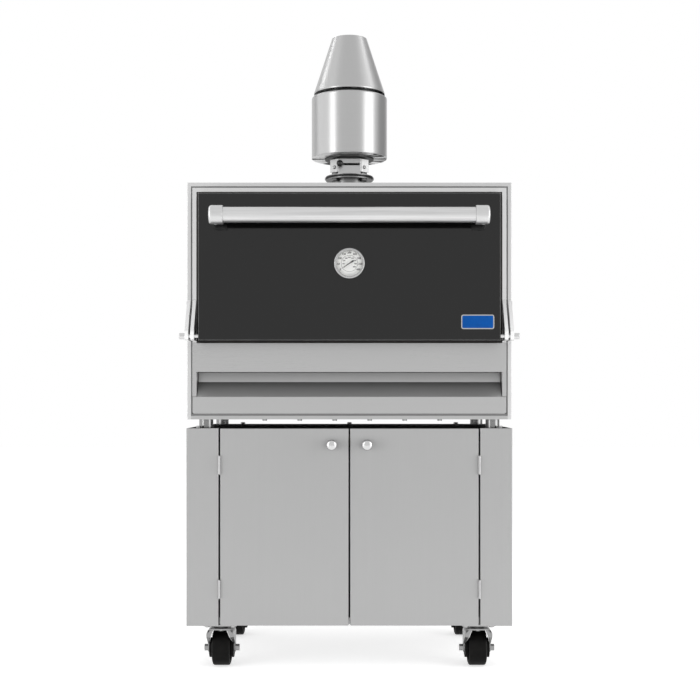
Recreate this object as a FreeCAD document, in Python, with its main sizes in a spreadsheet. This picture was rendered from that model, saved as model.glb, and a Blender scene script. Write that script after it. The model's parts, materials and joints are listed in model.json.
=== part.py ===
import FreeCAD, Part
import collections
import os
import re

import Sketcher

# Charcoal oven on a caster cabinet, in millimetres.
# X runs across the front, Y from the front to the back, Z up. The origin is on the floor,
# under the middle of the box that holds the whole oven.

SIZES = {
    # Cabinet
    "cabinet_width": 914,
    "cabinet_depth": 580,
    "cabinet_height": 554,
    "cabinet_sheet": 2,
    "stile_width": 90,
    "stile_return": 22,
    "rear_flange": 28,
    "deck_lip": 38,
    "floor_lip": 20,
    "deck_setback": 23,
    "cabinet_door_gap": 4.8,
    "cabinet_door_depth": 20,
    "cabinet_door_sheet": 1.5,
    "cabinet_door_edge": 1,
    "cabinet_knob_diameter": 30.5,
    "cabinet_knob_stem": 11,
    "cabinet_knob_height": 28,
    "cabinet_knob_head": 9,
    "cabinet_knob_round": 8,
    "cabinet_knob_inset": 47,
    "cabinet_knob_drop": 46,
    "cabinet_hinge_diameter": 8,
    "cabinet_hinge_pin": 4,
    "cabinet_hinge_length": 51,
    "cabinet_hinge_leaf": 1.5,
    "cabinet_hinge_margin": 103,
    "catch_width": 40,
    "catch_height": 39,
    "catch_drop": 16,
    # Casters
    "caster_height": 126,
    "caster_inset": 92,
    "caster_setback": 55,
    "caster_rear_inset": 71,
    "caster_lead": 28,
    "caster_plate_width": 95,
    "caster_plate_depth": 80,
    "caster_plate_thickness": 4,
    "caster_race_diameter": 52,
    "caster_race_height": 9,
    "kingpin_diameter": 12,
    "kingpin_head_diameter": 22,
    "kingpin_head_height": 5,
    "wheel_diameter": 100,
    "wheel_width": 50,
    "wheel_shoulder": 6,
    "wheel_rim_diameter": 76,
    "wheel_dish": 7,
    "wheel_hub_diameter": 34,
    "fork_width": 78,
    "fork_plate": 4,
    "fork_depth": 58,
    "fork_foot": 26,
    "fork_shoulder": 16,
    "axle_diameter": 10,
    "axle_nut_diameter": 19,
    "axle_nut_length": 11,
    "caster_bolt_across": 72,
    "caster_bolt_deep": 58,
    "caster_bolt_hole": 9,
    "caster_bolt_play": 6,
    # Oven casing
    "leg_height": 25,
    "leg_diameter": 40,
    "leg_inset": 46,
    "leg_setback": 70,
    "leg_rear_inset": 56,
    "body_inset": 2,
    "body_depth": 640,
    "roof_margin": 38,
    "casing_sheet": 2,
    "casing_flange": 11,
    "back_flange": 15,
    "base_lip": 10,
    "seam_gap": 4,
    # Front frame
    "frame_bar": 11.5,
    "frame_depth": 50,
    "sill_height": 81,
    "sill_sheet": 3,
    # Fire chamber
    "chamber_plate": 4,
    "flange_plate": 6,
    "mouth_margin": 28,
    "roof_rise": 10,
    "back_insulation": 54,
    "grate_ledge": 20,
    "grate_rise": 10,
    "grate_thickness": 14,
    "grate_slots": 32,
    "grate_slot_width": 10,
    "grate_border": 22,
    "rack_lower_rise": 62,
    "rack_upper_rise": 232,
    "rack_rim": 9,
    "rack_corner": 20,
    "rack_bar": 6,
    "rack_bars": 21,
    "rack_setback": 62,
    "runner_width": 18,
    "runner_height": 20,
    "runner_plate": 3,
    # Ash drawer
    "drawer_gap": 6,
    "drawer_side_gap": 1,
    "band_gap": 1,
    "drawer_face_height": 47,
    "drawer_slope_rise": 42,
    "drawer_slope_run": 41,
    "drawer_band_height": 27,
    "drawer_sheet": 2,
    "drawer_corner": 5,
    "tray_side_gap": 12,
    "tray_rear_gap": 20,
    "drawer_runner_width": 20,
    # Oven door
    "door_side_gap": 10.5,
    "door_height": 407,
    "door_depth": 49,
    "door_gap": 5,
    "door_back_gap": 6,
    "door_sheet": 2,
    "door_edge_radius": 2.5,
    "gasket_width": 14,
    "gasket_inset": 18,
    "gasket_corner": 24,
    "gasket_round": 3,
    "liner_panel_margin": 46,
    "liner_panel_rise": 3,
    "liner_panel_corner": 20,
    "hinge_rise": 12,
    "hinge_setback": 8.5,
    "hinge_pin_diameter": 10,
    "hinge_pin_grip": 20,
    "hinge_head_diameter": 17.5,
    "hinge_head_length": 16,
    "bracket_plate": 10,
    "bracket_reach_up": 104,
    "bracket_end_radius": 12,
    "bush_width": 20,
    "bush_height": 22,
    "bush_depth": 24,
    # Handle
    "handle_diameter": 42.4,
    "handle_wall": 2,
    "handle_end_gap": 37.5,
    "handle_standoff": 60,
    "handle_drop": 69.5,
    "handle_cap_diameter": 52,
    "handle_cap_length": 38,
    "handle_cap_round": 7,
    "handle_post_diameter": 30,
    "handle_foot_diameter": 46,
    "handle_foot_height": 5,
    # Thermometer
    "dial_case_diameter": 84,
    "dial_case_depth": 15,
    "dial_case_wall": 2,
    "dial_bezel_width": 5,
    "dial_rise": 211.5,
    "dial_lift": 4,
    "dial_thickness": 1,
    "lens_thickness": 2,
    "needle_length": 31,
    "needle_tail": 13,
    "needle_width": 2.4,
    "needle_tail_width": 5,
    "needle_hub_diameter": 9,
    "needle_thickness": 1,
    "needle_rest_angle": -34,
    "stem_diameter": 10,
    "stem_reach": 45,
    # Badge
    "badge_width": 91,
    "badge_height": 40,
    "badge_thickness": 1.5,
    "badge_corner": 6,
    "badge_side_gap": 18.5,
    "badge_rise": 51,
    # Flue
    "flue_setback": 320,
    "flue_diameter": 101.6,
    "flue_wall": 2,
    "flue_rise": 65.5,
    "flue_hole_gap": 1,
    "roof_collar_width": 30,
    "roof_collar_height": 3,
    "flue_flange_diameter": 144,
    "flue_flange_plate": 6,
    "flange_bolts": 4,
    "flange_bolt_circle": 124,
    "flange_bolt_diameter": 10,
    "flange_bolt_head": 18.5,
    "flange_bolt_head_height": 6.5,
    "damper_height": 55,
    "damper_plate_width": 68,
    "damper_plate_sheet": 2,
    "damper_plate_gap": 6,
    "damper_plate_drop": 9,
    "damper_tie": 4,
    "damper_tie_depth": 36.2,
    "damper_ear_width": 24,
    "damper_ear_set": 20,
    "damper_slot_length": 62,
    "damper_slot_height": 7,
    "damper_slot_drop": 25.5,
    "damper_disc": 2,
    "damper_disc_gap": 0.5,
    "damper_hole_inner": 12,
    "damper_hole_outer": 41,
    "damper_hole_narrow": 8,
    "damper_hole_wide": 29,
    "damper_holes": 4,
    "damper_pivot": 8,
    "damper_pivot_head": 14,
    "damper_pivot_head_height": 2,
    "damper_rest_angle": -22.5,
    "damper_lever_diameter": 5,
    "damper_lever_reach": 73,
    "damper_knob_diameter": 20,
    "damper_grip": 8,
    "can_diameter": 230,
    "can_height": 185.5,
    "can_sheet": 1.5,
    "can_shoulder": 5,
    "can_flange_diameter": 149,
    "can_flange_plate": 4,
    "neck_height": 10,
    "neck_inset": 9,
    "cone_base_diameter": 216,
    "cone_rim": 4,
    "cone_top_diameter": 107,
    "cone_height": 170,
    # Fits
    "fit_gap": 0.5,
    "slide_gap": 0.3,
    "pin_fit": 0.05,
}

# Places worked out from the sizes. Names ending in half are half-widths across X.
PLACES = {
    "door_proud": "door_back_gap + door_depth",
    "handle_reach": "door_proud + handle_standoff + handle_cap_diameter/2",
    "front": "(handle_reach - body_depth)/2",
    "body_back": "front + body_depth",
    "cab_half": "cabinet_width/2",
    "cab_back": "front + cabinet_depth",
    "cab_bottom": "caster_height",
    "cab_top": "cab_bottom + cabinet_height",
    "deck_front": "front + deck_setback",
    "body_half": "cab_half - body_inset",
    "body_bottom": "cab_top + leg_height",
    "leg_front": "front + leg_setback",
    "leg_rear": "cab_back - leg_rear_inset",
    "floor_top": "body_bottom + casing_sheet",
    "lip_half": "body_half - casing_flange",
    "lip_top": "body_bottom + base_lip",
    "frame_half": "lip_half - seam_gap",
    "frame_inner": "frame_half - frame_bar",
    "frame_top": "body_top - casing_flange - seam_gap",
    "frame_back": "front + frame_depth",
    "drawer_bottom": "lip_top + drawer_gap",
    "drawer_face_top": "drawer_bottom + drawer_face_height",
    "slope_top": "drawer_face_top + drawer_slope_rise",
    "band_top": "slope_top + drawer_band_height",
    "band_front": "front + drawer_slope_run",
    "band_back": "band_front + drawer_sheet",
    "sill_bottom": "band_top + band_gap",
    "sill_top": "sill_bottom + sill_height",
    "door_half": "frame_inner - door_side_gap",
    "door_bottom": "sill_top + door_gap",
    "door_top": "door_bottom + door_height",
    "body_top": "door_top + roof_margin",
    "door_front": "front - door_proud",
    "door_back": "front - door_back_gap",
    "mouth_half": "door_half - mouth_margin",
    "mouth_bottom": "door_bottom + mouth_margin",
    "mouth_top": "door_top - mouth_margin",
    "wall_half": "mouth_half + chamber_plate",
    "chamber_front": "front + flange_plate + chamber_plate",
    "chamber_back": "body_back - casing_sheet - back_insulation - chamber_plate",
    "chamber_roof": "mouth_top + roof_rise",
    "roof_top": "chamber_roof + chamber_plate",
    "grate_bottom": "sill_bottom + grate_rise",
    "tray_half": "mouth_half - tray_side_gap",
    "tray_bottom": "drawer_bottom + drawer_sheet + fit_gap",
    "hinge_y": "door_front + hinge_setback",
    "hinge_z": "door_bottom + hinge_rise",
    "bracket_in": "frame_inner + fit_gap",
    "bracket_out": "body_half - casing_flange/2 - bracket_plate/2",
    "pin_head_start": "bracket_out + bracket_plate",
    "pin_tip": "door_half - door_sheet - hinge_pin_grip",
    "handle_y": "door_front - handle_standoff",
    "handle_z": "door_top - handle_drop",
    "handle_half": "door_half - handle_end_gap - handle_cap_length",
    "dial_z": "door_bottom + dial_rise",
    "needle_base": "dial_lift + dial_thickness + slide_gap",
    "needle_level": "needle_base + 2*needle_thickness",
    "flue_y": "front + flue_setback",
    "flue_radius": "flue_diameter/2",
    "flue_bore": "flue_radius - flue_wall",
    "flue_top": "body_top + flue_rise",
    "damper_bottom": "flue_top",
    "damper_top": "damper_bottom + flue_flange_plate + damper_height",
    "damper_slot": "damper_top - damper_slot_drop",
    "damper_face": "flue_radius + damper_plate_gap",
    "shutter_bottom": "damper_slot - damper_lever_diameter/2 + damper_disc_gap - damper_disc",
    "damper_plate_bottom": "damper_bottom + flue_flange_plate + fit_gap",
    "damper_ear_bottom": "damper_plate_bottom + flange_bolt_head_height",
    "damper_plate_top": "damper_top - damper_plate_drop",
    "shutter_top": "shutter_bottom + damper_disc",
    "can_bottom": "damper_top",
    "can_top": "can_bottom + can_height",
    "can_radius": "can_diameter/2",
    "neck_radius": "cone_base_diameter/2 - neck_inset",
    "cone_bottom": "can_top + neck_height",
    "cone_top": "cone_bottom + cone_height",
    "cabinet_hinge_x": "cab_half - stile_width - cabinet_door_gap/2",
    "cabinet_hinge_y": "front - cabinet_hinge_diameter/2 - slide_gap",
    "cabinet_door_in": "cabinet_door_gap/2",
    "cabinet_door_out": "cab_half - stile_width - cabinet_door_gap",
    "cabinet_door_bottom": "cab_bottom + cabinet_door_edge",
    "cabinet_door_top": "cab_top - cabinet_door_edge",
    "caster_front": "front + caster_setback",
    "caster_rear": "cab_back - caster_rear_inset",
    "axle_z": "wheel_diameter/2",
    "plate_bottom": "caster_height - caster_plate_thickness",
    "race_bottom": "plate_bottom - caster_race_height",
    "crown_top": "race_bottom - slide_gap",
    "crown_bottom": "crown_top - fork_plate",
    "fork_inner_half": "fork_width/2 - fork_plate",
}

SIDES = {"left": -1, "right": 1}
ENDS = ("front", "rear")
Circle = collections.namedtuple("Circle", "x y diameter")
# Distance within which an edge counts as being where a rounding looks for it.
CLOSE = 0.01

doc = FreeCAD.newDocument("charcoal_oven")
sheet = doc.addObject("Spreadsheet::Sheet", "dims")
for row, (alias, number) in enumerate(SIZES.items(), start=1):
    sheet.set(f"A{row}", str(number))
    sheet.setAlias(f"A{row}", alias)
doc.recompute()


def formula(text):
    """Expression in which each name is a cell of the sheet or a place worked out from cells."""

    def swap(match):
        name = match.group(0)
        if name in PLACES:
            return f"({formula(PLACES[name])})"
        return f"dims.{name}" if name in SIZES else name

    return re.sub(r"[a-z_][a-z_0-9]*", swap, str(text))


def value(text):
    """Number that a formula gives now."""
    return float(sheet.evalExpression(formula(text)))


def bind(item, **properties):
    """Ties properties of a document object to formulas."""
    for name, text in properties.items():
        item.setExpression(name, formula(text))


def move(item, x="0", y="0", z="0"):
    """Ties the place of an object to formulas."""
    for axis, text in zip("xyz", (x, y, z)):
        item.setExpression(f"Placement.Base.{axis}", formula(text))
    return item


def turned(axis, angle):
    """Placement that only turns, by degrees about an axis given as three numbers."""
    return FreeCAD.Placement(FreeCAD.Vector(), FreeCAD.Rotation(FreeCAD.Vector(*axis), angle))


UPRIGHT = turned((0, 0, 1), 0)
ALONG = {"x": turned((0, 1, 0), 90), "y": turned((1, 0, 0), -90), "z": UPRIGHT}
TOWARDS_FRONT = turned((1, 0, 0), 90)


def block(name, x, y, z):
    """Box between a low and a high place on each axis."""
    solid = doc.addObject("Part::Box", name)
    for side, (low, high) in zip(("Length", "Width", "Height"), (x, y, z)):
        solid.setExpression(side, formula(f"({high}) - ({low})"))
    return move(solid, x[0], y[0], z[0])


def rod(name, axis, diameter, length, x="0", y="0", z="0"):
    """Cylinder that starts at a place and runs up an axis."""
    solid = doc.addObject("Part::Cylinder", name)
    bind(solid, Radius=f"({diameter})/2", Height=length)
    solid.Placement = ALONG[axis]
    return move(solid, x, y, z)


def join(name, *solids):
    """One solid from several that meet."""
    whole = doc.addObject("Part::MultiFuse", name)
    whole.Shapes = list(solids)
    whole.Refine = True
    return whole


def cut(name, base, *tools):
    """A solid with others taken away."""
    rest = doc.addObject("Part::Cut", name)
    rest.Base = base
    rest.Tool = tools[0] if len(tools) == 1 else join(f"{name}_tools", *tools)
    rest.Refine = True
    return rest


def group(name, solids):
    """Separate solids that share one node."""
    together = doc.addObject("Part::Compound", name)
    together.Links = list(solids)
    return together


def span(half):
    """Low and high place of a width that is centred on X."""
    return f"-({half})", half


def rectangle(x, y):
    """Corners of a rectangle between two places each way."""
    return [(x[0], y[0]), (x[1], y[0]), (x[1], y[1]), (x[0], y[1])]


def arch(half, thickness, bottom, top):
    """Outline of an upside-down U of even thickness, centred on X."""
    inner, under = f"({half}) - ({thickness})", f"({top}) - ({thickness})"
    left, right = span(half)
    in_left, in_right = span(inner)
    return [(left, bottom), (left, top), (right, top), (right, bottom),
            (in_right, bottom), (in_right, under), (in_left, under), (in_left, bottom)]


def straight(axis, **places):
    """Test for straight edges along an axis that pass through places on the other axes."""
    wanted = {key: value(text) for key, text in places.items()}

    def test(edge):
        if not isinstance(edge.Curve, Part.Line):
            return False
        start, end = edge.Vertexes[0].Point, edge.Vertexes[-1].Point
        runs_along = edge.Length - abs(getattr(end - start, axis)) < CLOSE
        return runs_along and all(abs(getattr(start, key) - place) < CLOSE for key, place in wanted.items())

    return test


def ring_edge(diameter, height):
    """Test for round edges of a diameter at a height of a turned piece."""
    radius, level = value(diameter) / 2, value(height)

    def test(edge):
        if not isinstance(edge.Curve, Part.Circle):
            return False
        return abs(edge.Curve.Radius - radius) < CLOSE and abs(edge.Curve.Center.z - level) < CLOSE

    return test


def lying(axis, place):
    """Test for edges that lie flat at one place on an axis."""
    level = value(place)

    def test(edge):
        box = edge.BoundBox
        low, high = getattr(box, f"{axis.upper()}Min"), getattr(box, f"{axis.upper()}Max")
        return abs(low - level) < CLOSE and abs(high - level) < CLOSE

    return test


class Form:
    """A body built feature by feature from sketches on its own origin planes."""

    def __init__(self, name):
        self.body = doc.addObject("PartDesign::Body", name)
        self.planes = {feature.Role: feature for feature in self.body.Origin.OriginFeatures}

    def add(self, kind):
        return self.body.newObject(f"PartDesign::{kind}", f"{self.body.Name}_{kind.lower()}")

    def sketch(self, plane, loops, offset="0"):
        """Sketch whose every corner is tied to formulas."""
        flat = self.body.newObject("Sketcher::SketchObject", f"{self.body.Name}_sketch")
        flat.AttachmentSupport = [(self.planes[f"{plane}_Plane"], "")]
        flat.MapMode = "FlatFace"
        flat.setExpression("AttachmentOffset.Base.z", formula(offset))
        for loop in loops:
            if isinstance(loop, Circle):
                self.draw_circle(flat, loop)
            else:
                self.draw_polygon(flat, loop)
        return flat

    @staticmethod
    def tie(flat, kind, text, *where):
        """Dimension held by a formula."""
        index = flat.addConstraint(Sketcher.Constraint(kind, *where, value(text)))
        flat.setExpression(f"Constraints[{index}]", formula(text))

    def draw_polygon(self, flat, corners):
        first, count = flat.GeometryCount, len(corners)
        points = [FreeCAD.Vector(value(x), value(y), 0) for x, y in corners]
        for index, point in enumerate(points):
            flat.addGeometry(Part.LineSegment(point, points[(index + 1) % count]), False)
        for index in range(count):
            following = first + (index + 1) % count
            flat.addConstraint(Sketcher.Constraint("Coincident", first + index, 2, following, 1))
        for index, (x, y) in enumerate(corners):
            self.tie(flat, "DistanceX", x, -1, 1, first + index, 1)
            self.tie(flat, "DistanceY", y, -1, 1, first + index, 1)

    def draw_circle(self, flat, ring):
        centre = FreeCAD.Vector(value(ring.x), value(ring.y), 0)
        radius = value(ring.diameter) / 2
        index = flat.addGeometry(Part.Circle(centre, FreeCAD.Vector(0, 0, 1), radius), False)
        self.tie(flat, "Diameter", ring.diameter, index)
        self.tie(flat, "DistanceX", ring.x, -1, 1, index, 3)
        self.tie(flat, "DistanceY", ring.y, -1, 1, index, 3)

    def extrude(self, kind, plane, loops, low, high):
        """Pad or pocket between two places along the plane's own axis; XZ sketches face -Y."""
        start = f"-({high})" if plane == "XZ" else low
        feature = self.add(kind)
        feature.Profile = self.sketch(plane, loops, start)
        feature.Reversed = kind == "Pocket"
        bind(feature, Length=f"({high}) - ({low})")
        return feature

    def pad(self, plane, loops, low, high):
        return self.extrude("Pad", plane, loops, low, high)

    def pocket(self, plane, loops, low, high):
        return self.extrude("Pocket", plane, loops, low, high)

    def turn(self, loop):
        """Revolution about Z of an outline given as (radius, height)."""
        flat = self.sketch("XZ", [loop])
        feature = self.add("Revolution")
        feature.Profile = flat
        feature.ReferenceAxis = (flat, ["V_Axis"])
        feature.Angle = 360
        return feature

    def repeat_round(self, feature, count):
        """Copies of a feature all round the sketch's own normal."""
        pattern = self.add("PolarPattern")
        pattern.Originals = [feature]
        pattern.Axis = (feature.Profile[0], ["N_Axis"])
        pattern.Angle = 360
        bind(pattern, Occurrences=count)
        self.body.Tip = pattern

    def repeat_across(self, feature, length, count):
        """Copies of a feature in a row along the sketch's horizontal axis."""
        pattern = self.add("LinearPattern")
        pattern.Originals = [feature]
        pattern.Direction = (feature.Profile[0], ["H_Axis"])
        bind(pattern, Length=length, Occurrences=count)
        self.body.Tip = pattern

    def round(self, radius, *tests):
        """Fillet on every edge that one of the tests picks."""
        doc.recompute()
        shape = self.body.Tip.Shape
        names = [f"Edge{number}" for number, edge in enumerate(shape.Edges, start=1)
                 if any(test(edge) for test in tests)]
        tip = self.body.Tip
        feature = self.add("Fillet")
        feature.Base = (tip, names)
        bind(feature, Radius=radius)

    def place(self, turn=UPRIGHT, x="0", y="0", z="0"):
        self.body.Placement = turn
        return move(self.body, x, y, z)


# Oven casing


def casing_wrap():
    """Two sides and roof of bent sheet, with a flange turned in round the front."""
    form = Form("casing_wrap")
    sheet_line = arch("body_half", "casing_sheet", "body_bottom", "body_top")
    flange_line = arch("body_half", "casing_flange", "body_bottom", "body_top")
    form.pad("XZ", [sheet_line], "front", "body_back")
    form.pad("XZ", [flange_line], "front", "front + casing_sheet")
    form.round("casing_sheet",
               *(straight("z", x=place, y="front") for place in span("body_half")),
               *(straight("y", x=place, z="body_top") for place in span("body_half")),
               straight("x", y="front", z="body_top"))
    hole = Circle("0", "flue_y", "flue_diameter + 2*flue_hole_gap")
    form.pocket("XY", [hole], "body_top - casing_sheet", "body_top")
    return form.body


def casing_back():
    """Rear sheet with a flange all round."""
    form = Form("casing_back")
    outer = rectangle(span("body_half - casing_sheet"), ("floor_top", "body_top - casing_sheet"))
    inner = rectangle(span("body_half - 2*casing_sheet"),
                      ("floor_top + casing_sheet", "body_top - 2*casing_sheet"))
    form.pad("XZ", [outer], "body_back - casing_sheet", "body_back")
    form.pad("XZ", [outer, inner], "body_back - back_flange", "body_back - casing_sheet")
    return form.body


def casing_base():
    """Bottom sheet with a lip turned up along the front."""
    form = Form("casing_base")
    floor = rectangle(span("body_half - casing_sheet"), ("front + casing_sheet", "body_back"))
    form.pad("XY", [floor], "body_bottom", "floor_top")
    form.pad("XZ", [rectangle(span("lip_half"), ("body_bottom", "lip_top"))], "front", "front + casing_sheet")
    return form.body


def insulation_slabs():
    """Mineral wool between the fire chamber and the casing."""
    deep = ("frame_back", "body_back - back_flange")
    low, high = "floor_top + casing_sheet", "roof_top"
    slabs = []
    for name, side in SIDES.items():
        near, far = f"{side}*wall_half", f"{side}*(body_half - casing_sheet)"
        across = (near, far) if side > 0 else (far, near)
        slabs.append(block(f"wool_{name}", across, deep, (low, high)))
    behind = ("chamber_back + chamber_plate", "body_back - back_flange")
    slabs.append(block("wool_back", span("wall_half"), behind, (low, high)))
    across = span("body_half - casing_sheet")
    roof = block("wool_roof_slab", across, deep, (high, "body_top - 2*casing_sheet"))
    hole = rod("wool_hole", "z", "flue_diameter + 2*flue_hole_gap", "body_top", y="flue_y")
    slabs.append(cut("wool_roof", roof, hole))
    return group("insulation_slabs", slabs)


def body_legs():
    """Round legs between the cabinet and the oven."""
    legs = []
    for side_name, side in SIDES.items():
        for end_name in ENDS:
            name = f"leg_{end_name}_{side_name}"
            x, y = f"{side}*(body_half - leg_inset)", f"leg_{end_name}"
            legs.append(rod(name, "z", "leg_diameter", "leg_height", x, y, "cab_top"))
    return group("body_legs", legs)


def front_frame():
    """Deep frame round the door and the drawer, with the sill panel and its return."""
    form = Form("front_frame")
    surround = arch("frame_half", "frame_bar", "drawer_face_top + band_gap", "frame_top")
    form.pad("XZ", [surround], "front", "frame_back")
    panel = rectangle(span("frame_inner"), ("sill_bottom", "sill_top"))
    form.pad("XZ", [panel], "front", "front + sill_sheet")
    returned = rectangle(span("frame_inner"), ("sill_bottom", "sill_bottom + sill_sheet"))
    form.pad("XZ", [returned], "front", "frame_back")
    return form.body


# Fire chamber


def fire_chamber():
    """Plate box, open at the mouth, the drawer bay and the flue, with a sealing flange and grate ledges."""
    box = block("chamber_box", span("wall_half"), ("front + flange_plate", "chamber_back + chamber_plate"),
                ("floor_top", "roof_top"))
    flange = block("chamber_flange", span("frame_inner - fit_gap"), ("front", "front + flange_plate"),
                   ("sill_top + fit_gap", "frame_top - frame_bar - fit_gap"))
    cavity = block("chamber_cavity", span("mouth_half"), ("chamber_front", "chamber_back"),
                   ("body_bottom", "chamber_roof"))
    mouth = block("chamber_mouth", span("mouth_half"), ("door_back", "frame_back"),
                  ("mouth_bottom", "mouth_top"))
    bay = block("chamber_bay", span("frame_inner"), ("door_back", "frame_back"),
                ("body_bottom", "sill_bottom + sill_sheet"))
    flue = rod("chamber_flue", "z", "2*flue_bore", "2*chamber_plate", y="flue_y",
               z="chamber_roof - chamber_plate")
    shell = cut("chamber_shell", join("chamber_plates", box, flange), cavity, mouth, bay, flue)
    ledges = []
    for name, side in SIDES.items():
        near, far = f"{side}*(mouth_half - grate_ledge)", f"{side}*wall_half"
        across = (near, far) if side > 0 else (far, near)
        ledges.append(block(f"grate_ledge_{name}", across, ("frame_back", "chamber_back"),
                            ("grate_bottom - chamber_plate", "grate_bottom")))
    return join("fire_chamber", shell, *ledges)


def fire_grate():
    """Cast grate with a border and a row of long slots."""
    form = Form("fire_grate")
    near, far = "frame_back", "chamber_back - fit_gap"
    half = "mouth_half - fit_gap"
    form.pad("XY", [rectangle(span(half), (near, far))], "grate_bottom", "grate_bottom + grate_thickness")
    first = f"-({half}) + grate_border"
    long_way = (f"{near} + grate_border", f"{far} - grate_border")
    slot = rectangle((first, f"{first} + grate_slot_width"), long_way)
    pocket = form.pocket("XY", [slot], "grate_bottom", "grate_bottom + grate_thickness")
    form.repeat_across(pocket, f"2*({half} - grate_border) - grate_slot_width", "grate_slots")
    return form.body


def rack_runners():
    """Angle rails on the chamber walls that carry the racks."""
    rails = []
    for level in ("lower", "upper"):
        for name, side in SIDES.items():
            top = f"mouth_bottom + rack_{level}_rise"
            wall, edge = f"{side}*mouth_half", f"{side}*(mouth_half - runner_width)"
            step = f"{side}*(mouth_half - runner_plate)"
            form = Form(f"runner_{level}_{name}")
            over, under = f"{top} + runner_height", f"{top} - runner_plate"
            corner = [(wall, over), (wall, under), (edge, under), (edge, top), (step, top), (step, over)]
            form.pad("XZ", [corner], "front + rack_setback", "chamber_back")
            rails.append(form.body)
    return group("rack_runners", rails)


def rack(level):
    """Grill rack: a rim of round rod, bent at its corners, with bars from front to back."""
    half = "mouth_half - runner_plate - fit_gap - rack_rim/2"
    near, far = "front + rack_setback + rack_rim/2", "chamber_back - fit_gap - rack_rim/2"
    height = f"mouth_bottom + rack_{level}_rise + rack_rim/2"
    wide, deep = f"2*({half})", f"({far}) - ({near})"
    rods = []
    for name, y in (("near", near), ("far", far)):
        rods.append(rod(f"rack_{level}_{name}", "x", "rack_rim", f"{wide} - 2*rack_corner",
                        f"rack_corner - ({half})", y, height))
    for name, side in SIDES.items():
        rods.append(rod(f"rack_{level}_{name}", "y", "rack_rim", f"{deep} - 2*rack_corner",
                        f"{side}*({half})", f"{near} + rack_corner", height))
    for quarter, (side, end) in enumerate(((1, 1), (-1, 1), (-1, -1), (1, -1))):
        edge = far if end > 0 else near
        bend = doc.addObject("Part::Torus", f"rack_{level}_bend_{quarter}")
        bind(bend, Radius1="rack_corner", Radius2="rack_rim/2")
        bend.Angle3 = 90
        bend.Placement = turned((0, 0, 1), 90 * quarter)
        rods.append(move(bend, f"{side}*({half} - rack_corner)", f"{edge} - {end}*rack_corner", height))
    for number in range(1, SIZES["rack_bars"] + 1):
        x = f"-({half}) + {number}*({wide})/(rack_bars + 1)"
        rods.append(rod(f"rack_{level}_bar_{number}", "y", "rack_bar", deep, x, near, height))
    return join(f"rack_{level}", *rods)


# Ash drawer


def drawer_runners():
    """Rails on the oven floor that the ash tray slides on."""
    rails = []
    for name, side in SIDES.items():
        middle = f"{side}*(tray_half - drawer_runner_width)"
        across = (f"{middle} - drawer_runner_width/2", f"{middle} + drawer_runner_width/2")
        rails.append(block(f"drawer_runner_{name}", across, ("frame_back", "chamber_back"),
                           ("floor_top", "tray_bottom - slide_gap")))
    return group("drawer_runners", rails)


def ash_drawer_front():
    """Bent front: a bottom return, a low face, a slope and a set-back band."""
    form = Form("ash_drawer_front")
    sheet_line = [("band_back", "drawer_bottom"), ("front", "drawer_bottom"), ("front", "drawer_face_top"),
                  ("band_front", "slope_top"), ("band_front", "band_top"), ("band_back", "band_top"),
                  ("band_back", "slope_top"), ("front + drawer_sheet", "drawer_face_top"),
                  ("front + drawer_sheet", "drawer_bottom + drawer_sheet"),
                  ("band_back", "drawer_bottom + drawer_sheet")]
    left, right = span("frame_inner - drawer_side_gap")
    form.pad("YZ", [sheet_line], left, right)
    wings = rectangle(span("frame_half - fit_gap"), ("drawer_bottom", "drawer_face_top"))
    form.pad("XZ", [wings], "front", "front + drawer_sheet")
    corners = [straight("y", x=place, z="drawer_bottom") for place in span("frame_half - fit_gap")]
    form.round("drawer_corner", *corners)
    return form.body


def ash_drawer_tray():
    """Open tray behind the drawer front."""
    form = Form("ash_drawer_tray")
    near, far = "band_back", "chamber_back - tray_rear_gap"
    top = "band_top - drawer_gap"
    inner = rectangle(span("tray_half - drawer_sheet"), (f"{near} + drawer_sheet", f"{far} - drawer_sheet"))
    form.pad("XY", [rectangle(span("tray_half"), (near, far))], "tray_bottom", top)
    form.pocket("XY", [inner], "tray_bottom + drawer_sheet", top)
    return form.body


# Oven door and its hinges


def hinge_brackets():
    """Pairs of plates that stand forward on each side and hold the hinge pin."""
    plates = []
    for name, side in SIDES.items():
        for row_name, start in (("inner", "bracket_in"), ("outer", "bracket_out")):
            form = Form(f"bracket_{row_name}_{name}")
            low, high = (start, f"{start} + bracket_plate")
            if side < 0:
                low, high = f"-({high})", f"-({low})"
            tip, under = "hinge_y - bracket_end_radius", "hinge_z - bracket_end_radius"
            over = "hinge_z + bracket_end_radius"
            side_view = [("front", "hinge_z + bracket_reach_up"), (tip, over), (tip, under), ("front", under)]
            form.pad("YZ", [side_view], low, high)
            bore = Circle("hinge_y", "hinge_z", "hinge_pin_diameter + 2*pin_fit")
            form.pocket("YZ", [bore], low, high)
            form.round("bracket_end_radius", straight("x", y=tip, z=over), straight("x", y=tip, z=under))
            plates.append(form.body)
    return group("hinge_brackets", plates)


def hinge_pins():
    """Headed pins through the brackets into the door."""
    pins = []
    for name, side in SIDES.items():
        form = Form(f"hinge_pin_{name}")
        shank, head = "hinge_pin_diameter/2", "hinge_head_diameter/2"
        end = "pin_head_start + hinge_head_length"
        form.turn([("0", "pin_tip"), (shank, "pin_tip"), (shank, "pin_head_start"), (head, "pin_head_start"),
                   (head, end), ("0", end)])
        form.round("casing_sheet", ring_edge("hinge_head_diameter", end))
        pins.append(form.place(turned((0, 1, 0), 90 * side), y="hinge_y", z="hinge_z"))
    return group("hinge_pins", pins)


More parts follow.
